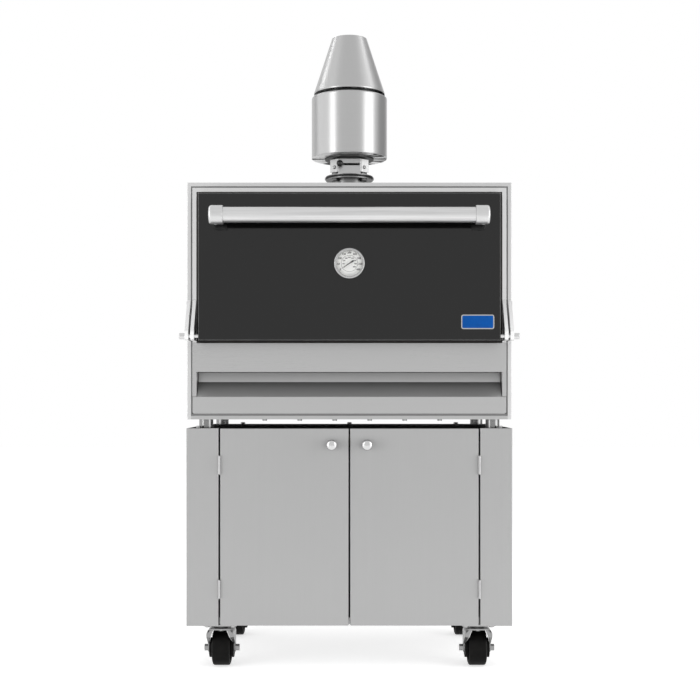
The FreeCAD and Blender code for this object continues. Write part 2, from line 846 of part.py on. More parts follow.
def door_skin():
    """Folded front pan of the door, open behind."""
    form = Form("door_skin")
    outer = rectangle(span("door_half"), ("door_bottom", "door_top"))
    inner = rectangle(span("door_half - door_sheet"), ("door_bottom + door_sheet", "door_top - door_sheet"))
    form.pad("XZ", [outer], "door_front", "door_back")
    form.round("door_edge_radius",
               *(straight("z", x=place, y="door_front") for place in span("door_half")),
               *(straight("x", y="door_front", z=place) for place in ("door_bottom", "door_top")))
    form.pocket("XZ", [inner], "door_front + door_sheet", "door_back")
    bore = Circle("hinge_y", "hinge_z", "hinge_pin_diameter + 2*door_sheet")
    form.pocket("YZ", [bore], *span("door_half"))
    form.pocket("XZ", [Circle("0", "dial_z", "stem_diameter + 2*fit_gap")], "door_front", "door_back")
    return form.body


def door_liner():
    """Steel sheet that closes the back of the door, with a raised panel inside the seal."""
    form = Form("door_liner")
    outline = rectangle(span("door_half - door_sheet"), ("door_bottom + door_sheet", "door_top - door_sheet"))
    hole = Circle("0", "dial_z", "stem_diameter + 2*fit_gap")
    form.pad("XZ", [outline, hole], "door_back - door_sheet", "door_back")
    across = span("door_half - liner_panel_margin")
    upward = ("door_bottom + liner_panel_margin", "door_top - liner_panel_margin")
    form.pad("XZ", [rectangle(across, upward), hole], "door_back", "door_back + liner_panel_rise")
    form.round("liner_panel_corner", *(straight("y", x=x, z=z) for x in across for z in upward))
    return form.body


def bush_place(side):
    """Low and high places of a hinge bush, inside the side of the door."""
    near, far = f"{side}*(door_half - door_sheet - bush_width)", f"{side}*(door_half - door_sheet)"
    across = (near, far) if side > 0 else (far, near)
    deep = ("door_front + door_sheet", "door_front + door_sheet + bush_depth")
    return across, deep, ("door_bottom + door_sheet", "door_bottom + door_sheet + bush_height")


def door_hinge_bushes():
    """Blocks in the lower corners of the door that turn on the pins."""
    bushes = []
    for name, side in SIDES.items():
        stock = block(f"bush_stock_{name}", *bush_place(side))
        bore = rod(f"bush_bore_{name}", "x", "hinge_pin_diameter + 2*pin_fit", "2*door_half", "-door_half",
                   "hinge_y", "hinge_z")
        bushes.append(cut(f"bush_{name}", stock, bore))
    return group("door_hinge_bushes", bushes)


def door_insulation():
    """Mineral wool inside the door, cleared for the bushes and the stem."""
    wool = block("door_wool", span("door_half - door_sheet"),
                 ("door_front + door_sheet", "door_back - door_sheet"),
                 ("door_bottom + door_sheet", "door_top - door_sheet"))
    clear = [block(f"door_wool_corner_{name}", *bush_place(side)) for name, side in SIDES.items()]
    hole = rod("door_wool_hole", "y", "stem_diameter + 2*fit_gap", "door_depth", "0", "door_front", "dial_z")
    return cut("door_insulation", wool, *clear, hole)


def door_gasket():
    """Rope seal on the back of the door, bedded against the chamber flange."""
    form = Form("door_gasket")
    near = "gasket_inset - gasket_width/2"
    far = "gasket_inset + gasket_width/2"
    rings = [rectangle(span(f"door_half - ({inset})"), (f"door_bottom + {inset}", f"door_top - ({inset})"))
             for inset in (near, far)]
    form.pad("XZ", rings, "door_back", "front - slide_gap")
    outer_half = f"door_half - ({near})"
    corners = [straight("y", x=x, z=z) for x in span(outer_half)
               for z in (f"door_bottom + {near}", f"door_top - ({near})")]
    form.round("gasket_corner", *corners)
    inner_half = f"door_half - ({far})"
    corners = [straight("y", x=x, z=z) for x in span(inner_half)
               for z in (f"door_bottom + {far}", f"door_top - ({far})")]
    form.round("gasket_corner - gasket_width", *corners)
    form.round("gasket_round", lying("y", "front - slide_gap"))
    return form.body


def handle_tube():
    """Round tube across the door."""
    place = ("-handle_half", "handle_y", "handle_z")
    outer = rod("handle_outer", "x", "handle_diameter", "2*handle_half", *place)
    bore = rod("handle_bore", "x", "handle_diameter - 2*handle_wall", "2*handle_half", *place)
    return cut("handle_tube", outer, bore)


def handle_ends():
    """Round caps on the tube, each with a post and a foot on the door."""
    ends = []
    for name, side in SIDES.items():
        form = Form(f"handle_cap_{name}")
        low, high = "handle_half", "handle_half + handle_cap_length"
        radius = "handle_cap_diameter/2"
        form.turn([("0", low), (radius, low), (radius, high), ("0", high)])
        form.round("handle_cap_round", ring_edge("handle_cap_diameter", high))
        cap = form.place(turned((0, 1, 0), 90 * side), y="handle_y", z="handle_z")
        x = f"{side}*(handle_half + handle_cap_length/2)"
        post = rod(f"handle_post_{name}", "y", "handle_post_diameter", "handle_standoff", x, "handle_y",
                   "handle_z")
        foot = rod(f"handle_foot_{name}", "y", "handle_foot_diameter", "handle_foot_height", x,
                   "door_front - handle_foot_height", "handle_z")
        ends.append(join(f"handle_end_{name}", cap, post, foot))
    return group("handle_ends", ends)


# Thermometer, turned about an axis that points to the front


def thermometer_case():
    """Round cup with a bezel turned in over the lens."""
    form = Form("thermometer_case")
    radius, inner = "dial_case_diameter/2", "dial_case_diameter/2 - dial_case_wall"
    rim, lens = "dial_case_diameter/2 - dial_bezel_width", "dial_case_depth - dial_case_wall"
    back = "stem_diameter/2 + fit_gap"
    form.turn([(back, "0"), (radius, "0"), (radius, "dial_case_depth"), (rim, "dial_case_depth"), (rim, lens),
               (inner, lens), (inner, "dial_case_wall"), (back, "dial_case_wall")])
    form.round("dial_case_wall", ring_edge("dial_case_diameter", "dial_case_depth"))
    return form.place(TOWARDS_FRONT, y="door_front", z="dial_z")


def thermometer_disc(name, low, high):
    """Disc that fills the case between two depths."""
    form = Form(name)
    form.pad("XY", [Circle("0", "0", "dial_case_diameter - 2*dial_case_wall - 2*pin_fit")], low, high)
    return form.place(TOWARDS_FRONT, y="door_front", z="dial_z")


def thermometer_stem():
    """Probe from the back of the dial through the door into the chamber."""
    length = "dial_lift + door_proud + stem_reach"
    return rod("thermometer_stem", "y", "stem_diameter", length, "0", "door_front - dial_lift", "dial_z")


def thermometer_needle():
    """Pointer with a broad tail and a hub."""
    form = Form("thermometer_needle")
    half, tail = "needle_width/2", "needle_tail_width/2"
    hub = Circle("0", "0", "needle_hub_diameter")
    form.pad("XY", [hub], "needle_base", "needle_level + needle_thickness")
    outline = [("-needle_length", "0"), ("0", f"-({half})"), ("needle_tail", f"-({tail})"),
               ("needle_tail", tail), ("0", half)]
    form.pad("XY", [outline], "needle_level", "needle_level + needle_thickness")
    rest = turned((0, 1, 0), SIZES["needle_rest_angle"]).multiply(TOWARDS_FRONT)
    return form.place(rest, y="door_front", z="dial_z")


def badge_plate():
    """Bare plate with rounded corners on the door."""
    form = Form("badge_plate")
    across = ("door_half - badge_side_gap - badge_width", "door_half - badge_side_gap")
    middle = "door_bottom + badge_rise"
    upward = (f"{middle} - badge_height/2", f"{middle} + badge_height/2")
    form.pad("XZ", [rectangle(across, upward)], "door_front - badge_thickness", "door_front")
    form.round("badge_corner", *(straight("y", x=x, z=z) for x in across for z in upward))
    return form.body


# Flue, damper and spark arrestor


def flue_pipe():
    """Pipe on the chamber roof, with a collar on the casing and a flange on top."""
    form = Form("flue_pipe")
    collar, flange = "flue_radius + roof_collar_width", "flue_flange_diameter/2"
    collar_top = "body_top + roof_collar_height"
    form.turn([("flue_bore", "roof_top"), ("flue_radius", "roof_top"), ("flue_radius", "body_top"),
               (collar, "body_top"), (collar, collar_top), ("flue_radius", collar_top),
               ("flue_radius", "flue_top - flue_flange_plate"), (flange, "flue_top - flue_flange_plate"),
               (flange, "flue_top"), ("flue_bore", "flue_top")])
    bolt_holes(form, "flue_top - flue_flange_plate", "flue_top")
    return form.place(y="flue_y")


def bolt_place(number):
    """Where a flange bolt stands from the flue's axis, half a step from the sides."""
    angle = f"({number} + 1/2)*360 deg/flange_bolts"
    return f"flange_bolt_circle/2*cos({angle})", f"flange_bolt_circle/2*sin({angle})"


def bolt_holes(form, low, high):
    """Ring of bolt holes through a flange."""
    x, y = bolt_place(0)
    hole = Circle(x, y, "flange_bolt_diameter + 2*pin_fit")
    form.repeat_round(form.pocket("XY", [hole], low, high), "flange_bolts")


def hexagon(name, width, height, x, y, z):
    """Six-sided head or nut, by its width across the corners."""
    solid = doc.addObject("Part::Prism", name)
    solid.Polygon = 6
    bind(solid, Circumradius=f"({width})/2", Height=height)
    return move(solid, x, y, z)


def flange_bolts():
    """Bolts that clamp the two flue flanges, each with its nut."""
    low, high = "flue_top - flue_flange_plate", "flue_top + flue_flange_plate"
    bolts = []
    for number in range(SIZES["flange_bolts"]):
        x, y = bolt_place(number)
        y = f"flue_y + {y}"
        label = f"flange_bolt_{number}"
        shank = rod(f"{label}_shank", "z", "flange_bolt_diameter", f"({high}) - ({low})", x, y, low)
        head = hexagon(f"{label}_head", "flange_bolt_head", "flange_bolt_head_height", x, y, high)
        nut = hexagon(f"{label}_nut", "flange_bolt_head", "flange_bolt_head_height", x, y,
                      f"{low} - flange_bolt_head_height")
        bolts.append(join(label, shank, head, nut))
    return group("flange_bolts", bolts)


def sector_disc(name, diameter, low):
    """Disc with wedge-shaped holes round its middle."""
    form = Form(name)
    form.pad("XY", [Circle("0", "0", diameter)], low, f"{low} + damper_disc")
    wedge = [("damper_hole_inner", "-damper_hole_narrow/2"), ("damper_hole_outer", "-damper_hole_wide/2"),
             ("damper_hole_outer", "damper_hole_wide/2"), ("damper_hole_inner", "damper_hole_narrow/2")]
    form.repeat_round(form.pocket("XY", [wedge], low, f"{low} + damper_disc"), "damper_holes")
    return form.place(turned((0, 0, 1), SIZES["damper_rest_angle"]), y="flue_y")


def damper_housing():
    """Flanged pipe with a fixed holed disc and its pivot, and a bent front plate with the lever's slot."""
    form = Form("damper_pipe")
    flange = "flue_flange_diameter/2"
    low = "damper_bottom + flue_flange_plate"
    upper, under = "can_flange_diameter/2", "damper_top - can_flange_plate"
    form.turn([("flue_bore", "damper_bottom"), (flange, "damper_bottom"), (flange, low), ("flue_radius", low),
               ("flue_radius", under), (upper, under), (upper, "damper_top"), ("flue_bore", "damper_top")])
    bolt_holes(form, "damper_bottom", low)
    pipe = form.place(y="flue_y")
    fixed = "shutter_bottom - damper_disc_gap - damper_disc"
    disc = sector_disc("damper_fixed_disc", "2*flue_bore", fixed)
    head = "shutter_top + slide_gap"
    pivot = rod("damper_pivot_pin", "z", "damper_pivot", f"({head}) - ({fixed})", y="flue_y", z=fixed)
    pivot_head = rod("damper_pivot_cap", "z", "damper_pivot_head", "damper_pivot_head_height",
                     y="flue_y", z=head)
    plate = Form("damper_plate")
    flat, ear = "damper_plate_width/2", "damper_plate_width/2 + damper_ear_width"
    face, bent = "-damper_face", "damper_ear_set - damper_face"
    outer = [(f"-({ear})", bent), (f"-({flat})", face), (flat, face), (ear, bent)]
    inner = [(x, f"{y} + damper_plate_sheet") for x, y in reversed(outer)]
    plate.pad("XY", [outer + inner], "damper_ear_bottom", "damper_plate_top")
    foot = rectangle(span("damper_plate_width/2"), (face, f"{face} + damper_plate_sheet"))
    plate.pad("XY", [foot], "damper_plate_bottom", "damper_ear_bottom")
    front_plate = plate.place(y="flue_y")
    ties = []
    for name, side in SIDES.items():
        middle = f"{side}*(damper_slot_length/2 + damper_tie)"
        ties.append(block(f"damper_tie_{name}", (f"{middle} - damper_tie/2", f"{middle} + damper_tie/2"),
                          ("flue_y - damper_face + damper_plate_sheet/2", "flue_y - damper_tie_depth"),
                          ("damper_ear_bottom", "damper_plate_top")))
    slot = block("damper_slot", span("damper_slot_length/2"),
                 ("flue_y - damper_face - fit_gap", "flue_y - damper_tie_depth"),
                 ("damper_slot - damper_slot_height/2", "damper_slot + damper_slot_height/2"))
    shell = join("damper_shell", pipe, disc, pivot, pivot_head, front_plate, *ties)
    return cut("damper_housing", shell, slot)


def damper_shutter():
    """Holed disc that turns over the fixed one, with its lever."""
    disc = sector_disc("damper_disc_turning", "2*(flue_bore - fit_gap)", "shutter_bottom")
    lever = rod("damper_lever", "y", "damper_lever_diameter", "damper_lever_reach - damper_hole_inner")
    bore = rod("damper_pivot_bore", "z", "damper_pivot + 2*pin_fit", "damper_disc", y="flue_y",
               z="shutter_bottom")
    return cut("damper_shutter", join("damper_turning", disc, swing(lever, "damper_lever_reach")), bore)


def swing(item, reach):
    """Turns a piece on the lever's line, at a distance from the flue axis, to where the lever rests."""
    angle = SIZES["damper_rest_angle"]
    item.Placement = turned((0, 0, 1), angle).multiply(item.Placement)
    return move(item, f"({reach})*sin({angle} deg)", f"flue_y - ({reach})*cos({angle} deg)", "damper_slot")


def damper_knob():
    """Ball on the end of the lever."""
    ball = doc.addObject("Part::Sphere", "damper_ball")
    bind(ball, Radius="damper_knob_diameter/2")
    swing(ball, "damper_lever_reach - damper_grip + damper_knob_diameter/2")
    socket = rod("damper_socket", "y", "damper_lever_diameter", "damper_lever_reach")
    return cut("damper_knob", ball, swing(socket, "damper_lever_reach"))


def spark_arrestor_can():
    """Round can of sheet on the damper's flange, with a soft shoulder."""
    form = Form("spark_arrestor_can")
    inner, floor, roof = "can_radius - can_sheet", "can_bottom + can_sheet", "can_top - can_sheet"
    mouth = "neck_radius - can_sheet"
    form.turn([("flue_bore", "can_bottom"), ("can_radius", "can_bottom"), ("can_radius", "can_top"),
               (mouth, "can_top"), (mouth, roof), (inner, roof), (inner, floor), ("flue_bore", floor)])
    form.round("can_sheet", ring_edge("can_diameter", "can_bottom"))
    form.round("can_shoulder - can_sheet", ring_edge("2*(can_radius - can_sheet)", roof))
    form.round("can_shoulder", ring_edge("can_diameter", "can_top"))
    return form.place(y="flue_y")


def arrestor_cone():
    """Open cone over the can on a set-in neck."""
    form = Form("arrestor_cone")
    base, tip = "cone_base_diameter/2", "cone_top_diameter/2"
    rim = "cone_bottom + cone_rim"
    bore, floor = "neck_radius - can_sheet", "cone_bottom + can_sheet"
    form.turn([(bore, "can_top"), ("neck_radius", "can_top"), ("neck_radius", "cone_bottom"),
               (base, "cone_bottom"), (base, rim), (tip, "cone_top"), (f"{tip} - can_sheet", "cone_top"),
               (f"{base} - can_sheet", rim), (f"{base} - can_sheet", floor), (bore, floor)])
    return form.place(y="flue_y")


# Cabinet


def cabinet_side(name):
    """Bent side panel with its front stile and rear flange."""
    side = SIDES[name]
    stile, inside = "cab_half - stile_width", "cab_half - cabinet_sheet"
    behind, returned = "front + cabinet_sheet", f"{stile} + cabinet_sheet"
    line = [("cab_half", "front"), ("cab_half", "cab_back"), ("cab_half - rear_flange", "cab_back"),
            ("cab_half - rear_flange", "cab_back - cabinet_sheet"), (inside, "cab_back - cabinet_sheet"),
            (inside, behind), (returned, behind), (returned, "front + stile_return"),
            (stile, "front + stile_return"), (stile, "front")]
    form = Form(f"cabinet_{name}_side")
    form.pad("XY", [[(f"{side}*({x})", y) for x, y in line]], "cab_bottom", "cab_top")
    bends = (("cab_half", "front"), ("cab_half", "cab_back"), (stile, "front"))
    form.round("cabinet_sheet", *(straight("z", x=f"{side}*({x})", y=y) for x, y in bends))
    return form.body


def cabinet_back():
    """Rear panel inside the rear flanges."""
    return block("cabinet_back", span("cab_half - cabinet_sheet"),
                 ("cab_back - 2*cabinet_sheet", "cab_back - cabinet_sheet"), ("cab_bottom", "cab_top"))


def cabinet_deck(name, level, lip_end):
    """Horizontal panel with a lip along its front."""
    form = Form(name)
    low, high = level
    plate = rectangle(span("cab_half - cabinet_sheet"), ("deck_front", "cab_back - 2*cabinet_sheet"))
    form.pad("XY", [plate], low, high)
    lip = rectangle(span("cab_half - stile_width"), lip_end)
    form.pad("XZ", [lip], "deck_front", "deck_front + cabinet_sheet")
    return form.body


def cabinet_top():
    """Top of the cabinet, which carries the oven's legs."""
    return cabinet_deck("cabinet_top", ("cab_top - cabinet_sheet", "cab_top"),
                        ("cab_top - deck_lip", "cab_top"))


def cabinet_floor():
    """Bottom of the cabinet, which carries the casters."""
    return cabinet_deck("cabinet_floor", ("cab_bottom", "cab_bottom + cabinet_sheet"),
                        ("cab_bottom", "cab_bottom + floor_lip"))


def door_catch():
    """Catch plate behind the meeting edges of the cabinet doors."""
    top = "cab_top - catch_drop"
    deep = ("front + cabinet_door_depth + slide_gap", "deck_front")
    return block("door_catch", span("catch_width/2"), deep, (f"{top} - catch_height", top))


def cabinet_door(name):
    """Folded door pan, open behind."""
    side = SIDES[name]
    form = Form(f"cabinet_door_{name}")

    def outline(inset):
        across = [f"{side}*(cabinet_door_in + {inset})", f"{side}*(cabinet_door_out - {inset})"]
        return rectangle(across, (f"cabinet_door_bottom + {inset}", f"cabinet_door_top - {inset}"))

    back = "front + cabinet_door_depth"
    form.pad("XZ", [outline("0")], "front", back)
    form.round("cabinet_door_sheet", *(straight("z", x=f"{side}*{edge}", y="front")
                                       for edge in ("cabinet_door_in", "cabinet_door_out")))
    form.pocket("XZ", [outline("cabinet_door_sheet")], "front + cabinet_door_sheet", back)
    return form.body


def cabinet_knob(name):
    """Turned knob near the meeting edge of a door."""
    form = Form(f"cabinet_knob_{name}")
    radius, stem = "cabinet_knob_diameter/2", "cabinet_knob_stem/2"
    under = "cabinet_knob_height - cabinet_knob_head"
    form.turn([("0", "0"), (stem, "0"), (stem, under), (radius, under), (radius, "cabinet_knob_height"),
               ("0", "cabinet_knob_height")])
    form.round("cabinet_knob_round", ring_edge("cabinet_knob_diameter", "cabinet_knob_height"))
    place = f"{SIDES[name]}*(cabinet_door_in + cabinet_knob_inset)"
    return form.place(TOWARDS_FRONT, x=place, y="front", z="cab_top - cabinet_knob_drop")


HINGE_LEVELS = {"lower": "cab_bottom + cabinet_hinge_margin", "upper": "cab_top - cabinet_hinge_margin"}


def hinge_half(name, side, low, high, leaf):
    """Knuckle of a cabinet hinge between two heights, with the leaf that lies in the door gap."""
    x = f"{side}*cabinet_hinge_x"
    knuckle = rod(f"{name}_knuckle", "z", "cabinet_hinge_diameter", f"({high}) - ({low})", x,
                  "cabinet_hinge_y", low)
    across = leaf if side > 0 else (f"-({leaf[1]})", f"-({leaf[0]})")
    plate = block(f"{name}_leaf", across, ("cabinet_hinge_y", "front + cabinet_door_depth"), (low, high))
    return join(name, knuckle, plate)


def cabinet_hinge_frames():
    """Lower knuckles of the cabinet hinges, fixed to the stiles, with their pins."""
    halves = []
    stile_face = "cab_half - stile_width"
    leaf = (f"{stile_face} - cabinet_hinge_leaf", stile_face)
    for side_name, side in SIDES.items():
        for level_name, middle in HINGE_LEVELS.items():
            name = f"hinge_frame_{level_name}_{side_name}"
            low, high = f"{middle} - cabinet_hinge_length/2", f"{middle} - slide_gap/2"
            half = hinge_half(f"{name}_half", side, low, high, leaf)
            pin = rod(f"{name}_pin", "z", "cabinet_hinge_pin", "cabinet_hinge_length",
                      f"{side}*cabinet_hinge_x", "cabinet_hinge_y", low)
            halves.append(join(name, half, pin))
    return group("cabinet_hinge_frames", halves)


def cabinet_hinge_leaves(name):
    """Upper knuckles of one door's hinges, bored for the pins."""
    side = SIDES[name]
    halves = []
    for level_name, middle in HINGE_LEVELS.items():
        label = f"hinge_leaf_{level_name}_{name}"
        low, high = f"{middle} + slide_gap/2", f"{middle} + cabinet_hinge_length/2"
        leaf = ("cabinet_door_out", "cabinet_door_out + cabinet_hinge_leaf")
        half = hinge_half(f"{label}_half", side, low, high, leaf)
        bore = rod(f"{label}_bore", "z", "cabinet_hinge_pin + 2*pin_fit", "cabinet_hinge_length",
                   f"{side}*cabinet_hinge_x", "cabinet_hinge_y", f"{middle} - cabinet_hinge_length/2")
        halves.append(cut(label, half, bore))
    return group(f"cabinet_hinge_leaves_{name}", halves)


# Casters


def caster_place(end_name, side_name):
    """Where a caster's kingpin stands."""
    return f"{SIDES[side_name]}*(cab_half - caster_inset)", f"caster_{end_name}"


def caster_plates():
    """Top plates with race and kingpin, under the cabinet floor."""
    plates = []
    for end_name in ENDS:
        for side_name in SIDES:
            x, y = caster_place(end_name, side_name)
            label = f"caster_plate_{end_name}_{side_name}"
            form = Form(f"caster_plate_{end_name}_{side_name}")
            outline = rectangle(span("caster_plate_width/2"), span("caster_plate_depth/2"))
            form.pad("XY", [outline], "plate_bottom", "caster_height")
            form.round("caster_plate_thickness", *(straight("z", x=across, y=deep)
                                                   for across in span("caster_plate_width/2")
                                                   for deep in span("caster_plate_depth/2")))
            race, pin, head = "caster_race_diameter/2", "kingpin_diameter/2", "kingpin_head_diameter/2"
            head_top = "crown_bottom - slide_gap"
            head_low = f"{head_top} - kingpin_head_height"
            form.turn([("0", head_low), (head, head_low), (head, head_top), (pin, head_top),
                       (pin, "race_bottom"), (f"{race} - caster_plate_thickness", "race_bottom"),
                       (race, "plate_bottom"), ("0", "plate_bottom")])
            form.pocket("XY", bolt_slots(), "plate_bottom", "caster_height")
            plates.append(form.place(x=x, y=y))
    return group("caster_plates", plates)


def bolt_slots():
    """Outlines of the four mounting slots of a caster plate."""
    slots = []
    for across in SIDES.values():
        for deep in SIDES.values():
            x, y = f"{across}*caster_bolt_across/2", f"{deep}*caster_bolt_deep/2"
            slots.append(rectangle((f"{x} - caster_bolt_hole/2", f"{x} + caster_bolt_hole/2"),
                                   (f"{y} - caster_bolt_play", f"{y} + caster_bolt_play")))
    return slots


def caster_fork(end_name, side_name):
    """Pressed fork with tapered legs, and its axle bolt as a second solid."""
    label = f"caster_fork_{end_name}_{side_name}"
    x, y = caster_place(end_name, side_name)
    form = Form(f"{label}_yoke")
    bottom = "axle_z - fork_foot/2"
    form.pad("XZ", [arch("fork_width/2", "fork_plate", bottom, "crown_top")],
             "-fork_depth/2", "caster_lead + fork_foot/2")
    form.round("fork_shoulder - fork_plate",
               *(straight("y", x=place, z="crown_bottom") for place in span("fork_inner_half")))
    form.round("fork_shoulder", *(straight("y", x=place, z="crown_top") for place in span("fork_width/2")))
    rear, toe = "caster_lead + fork_foot/2", "caster_lead - fork_foot/2"
    flank = [("-fork_depth/2 - fork_plate", "crown_bottom - fork_shoulder"), (toe, f"{bottom} + fork_foot"),
             (toe, f"{bottom} - fork_plate"), ("-fork_depth/2 - fork_plate", f"{bottom} - fork_plate")]
    form.pocket("YZ", [flank], *span("fork_width/2"))
    form.pocket("YZ", [Circle("caster_lead", "axle_z", "axle_diameter")], *span("fork_width/2"))
    form.pocket("XY", [Circle("0", "0", "kingpin_diameter + 2*pin_fit")], "crown_bottom", "crown_top")
    form.round("fork_foot/2 - pin_fit", straight("x", y=rear, z=bottom), straight("x", y=toe, z=bottom))
    yoke = form.place(x=x, y=y)
    wide = "fork_width/2 + axle_nut_length"
    behind = f"{y} + caster_lead"
    axle = rod(f"{label}_shank", "x", "axle_diameter", "fork_width", f"{x} - fork_width/2", behind, "axle_z")
    nuts = []
    for number, start in enumerate((f"{x} - ({wide})", f"{x} + fork_width/2")):
        nut = hexagon(f"{label}_nut_{number}", "axle_nut_diameter", "axle_nut_length", start, behind,
                      "axle_z")
        nut.Placement.Rotation = ALONG["x"].Rotation
        nuts.append(nut)
    return group(label, [yoke, join(f"{label}_axle", axle, *nuts)])


def caster_wheel(end_name, side_name):
    """Wheel with soft shoulders, dished sides and a long hub."""
    form = Form(f"caster_wheel_{end_name}_{side_name}")
    radius, half = "wheel_diameter/2", "wheel_width/2"
    bore, hub = "axle_diameter/2 + pin_fit", "wheel_hub_diameter/2"
    end = "fork_inner_half - slide_gap"
    rim, web = "wheel_rim_diameter/2", f"{half} - wheel_dish"
    web_out = f"{rim} - wheel_dish/2"
    form.turn([(bore, f"-({end})"), (hub, f"-({end})"), (hub, f"-({web})"), (web_out, f"-({web})"),
               (rim, f"-({half})"), (radius, f"-({half})"), (radius, half), (rim, half), (web_out, web),
               (hub, web), (hub, end), (bore, end)])
    form.round("wheel_shoulder", ring_edge("wheel_diameter", half), ring_edge("wheel_diameter", f"-({half})"))
    x, y = caster_place(end_name, side_name)
    return form.place(ALONG["x"], x, f"{y} + caster_lead", "axle_z")


nodes = [
    casing_wrap(), casing_back(), casing_base(), insulation_slabs(), body_legs(), front_frame(),
    fire_chamber(), fire_grate(), rack_runners(), rack("lower"), rack("upper"),
    drawer_runners(), ash_drawer_front(), ash_drawer_tray(),
    hinge_brackets(), hinge_pins(), door_skin(), door_liner(), door_insulation(), door_hinge_bushes(),
    door_gasket(), handle_tube(), handle_ends(),
    thermometer_case(), thermometer_stem(), thermometer_needle(), badge_plate(),
    thermometer_disc("thermometer_dial", "dial_lift", "dial_lift + dial_thickness"),
    thermometer_disc("thermometer_lens", "dial_case_depth - dial_case_wall - lens_thickness",
                     "dial_case_depth - dial_case_wall"),
    flue_pipe(), flange_bolts(), damper_housing(), damper_shutter(), damper_knob(),
    spark_arrestor_can(), arrestor_cone(),
    cabinet_side("left"), cabinet_side("right"), cabinet_back(), cabinet_top(), cabinet_floor(), door_catch(),
    cabinet_hinge_frames(), caster_plates(),
]
for side_name in SIDES:
    nodes += [cabinet_door(side_name), cabinet_knob(side_name), cabinet_hinge_leaves(side_name)]
    for end_name in ENDS:
        nodes += [caster_fork(end_name, side_name), caster_wheel(end_name, side_name)]

doc.recompute()
for item in doc.Objects:
    if "Invalid" in item.State or "Error" in item.State:
        raise RuntimeError(f"{item.Label} failed: {item.State}")
for item in nodes:
    if item.Shape.isNull() or not item.Shape.isValid() or not item.Shape.Solids:
        raise RuntimeError(f"{item.Label} has no valid solid")

os.makedirs("parts", exist_ok=True)
for item in nodes:
    item.Shape.exportStep(f"parts/{item.Label}.step")
print(f"{len(nodes)} nodes written")
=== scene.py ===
"""Looks, studio and camera for a charcoal oven on a caster cabinet.

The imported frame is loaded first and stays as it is. Each class dresses one sub-assembly of the
frame and builds the small pieces that it carries, as surfaces worked out on grids of points.
Lengths are in metres. X runs across the front, Y from the front to the back and Z up.
"""
from __future__ import annotations

import json
import logging
import math
from collections.abc import Iterable, Sequence
from dataclasses import dataclass
from enum import Enum

import bmesh
import bpy
import numpy as np
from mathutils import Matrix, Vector

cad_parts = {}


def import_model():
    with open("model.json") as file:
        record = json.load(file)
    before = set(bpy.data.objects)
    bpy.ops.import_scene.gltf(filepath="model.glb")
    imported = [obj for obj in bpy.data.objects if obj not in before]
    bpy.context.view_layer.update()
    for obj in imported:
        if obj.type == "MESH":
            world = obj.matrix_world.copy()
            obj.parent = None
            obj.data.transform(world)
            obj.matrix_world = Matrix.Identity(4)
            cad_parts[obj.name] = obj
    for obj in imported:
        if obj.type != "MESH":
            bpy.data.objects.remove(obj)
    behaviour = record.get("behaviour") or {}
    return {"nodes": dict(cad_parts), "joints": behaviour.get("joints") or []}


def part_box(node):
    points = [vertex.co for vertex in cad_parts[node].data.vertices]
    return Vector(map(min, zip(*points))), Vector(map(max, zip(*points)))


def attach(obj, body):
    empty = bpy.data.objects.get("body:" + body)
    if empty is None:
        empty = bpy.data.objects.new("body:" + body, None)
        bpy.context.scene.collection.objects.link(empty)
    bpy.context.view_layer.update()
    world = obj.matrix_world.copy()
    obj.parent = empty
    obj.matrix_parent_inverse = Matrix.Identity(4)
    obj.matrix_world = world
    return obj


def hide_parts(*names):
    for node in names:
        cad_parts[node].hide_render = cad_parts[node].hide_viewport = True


LOG = logging.getLogger("charcoal_oven")
MERGE_DISTANCE = 1e-7
CREASE_ANGLE = math.radians(38)
LEAST_CORNER = 1e-4
FULL_TURN = 2 * math.pi
SIDES = {"left": -1, "right": 1}
ENDS = ("front", "rear")
ASIDE, REARWARD, UPWARD, DOWNWARD = (1, 0, 0), (0, 1, 0), (0, 0, 1), (0, 0, -1)
CORNERS = ((1, 1), (-1, 1), (-1, -1), (1, -1))
WHITE, BLACK = (1.0, 1.0, 1.0, 1.0), (0.0, 0.0, 0.0, 1.0)

# Screw head with a dished socket, as shares of its radius and of its height
PAN_HEAD = ((0, 0), (1, 0), (1, 0.45), (0.86, 0.85), (0.62, 1), (0.45, 1), (0.432, 0.45), (0, 0.45))
# Flat on top of a bolt's head, as a share of its width
HEAD_LAND = 0.97

Colour = tuple[float, float, float]
Outline = Sequence[tuple[float, float]]
Place = Sequence[float]
Socket = bpy.types.NodeSocket


class Grain(Enum):
    """Way that brush lines run: noise cells per metre on X, Y and Z, and an axis square to the lines."""

    ACROSS = ((14.0, 1400.0, 1400.0), (0.0, 0.6, 0.8))
    DEEP = ((1400.0, 14.0, 1400.0), (0.6, 0.0, 0.8))
    UPRIGHT = ((1400.0, 1400.0, 14.0), (0.8, 0.6, 0.0))
    ROUND = ((9.0, 9.0, 1400.0), (0.0, 0.0, 1.0))
    ALONG = ((3.0, 190.0, 190.0), (0.0, 0.6, 0.8))

    @property
    def cells(self) -> tuple[float, float, float]:
        """Cells of the noise per metre, few along the lines."""
        return self.value[0]

    @property
    def spread(self) -> tuple[float, float, float]:
        """Axis along which the lines spread gloss."""
        return self.value[1]


class Axis(Enum):
    """Axis that a finish changes along."""

    DEPTH = "Y"
    HEIGHT = "Z"


class Slot(Enum):
    """Material slots of the record."""

    STAINLESS = "brushed_stainless"
    BRIGHT = "polished_stainless"
    ENAMEL = "black_enamel"
    SCALE = "scaled_steel"
    IRON = "cast_iron"
    ZINC = "zinc_steel"
    RUBBER = "black_rubber"
    WOOL = "mineral_wool"
    ROPE = "glass_rope"
    DIAL = "dial_white"
    NEEDLE = "needle_black"
    GLASS = "dial_glass"
    BADGE = "badge_blue"
    BALL = "ball_plastic"


# Surfaces


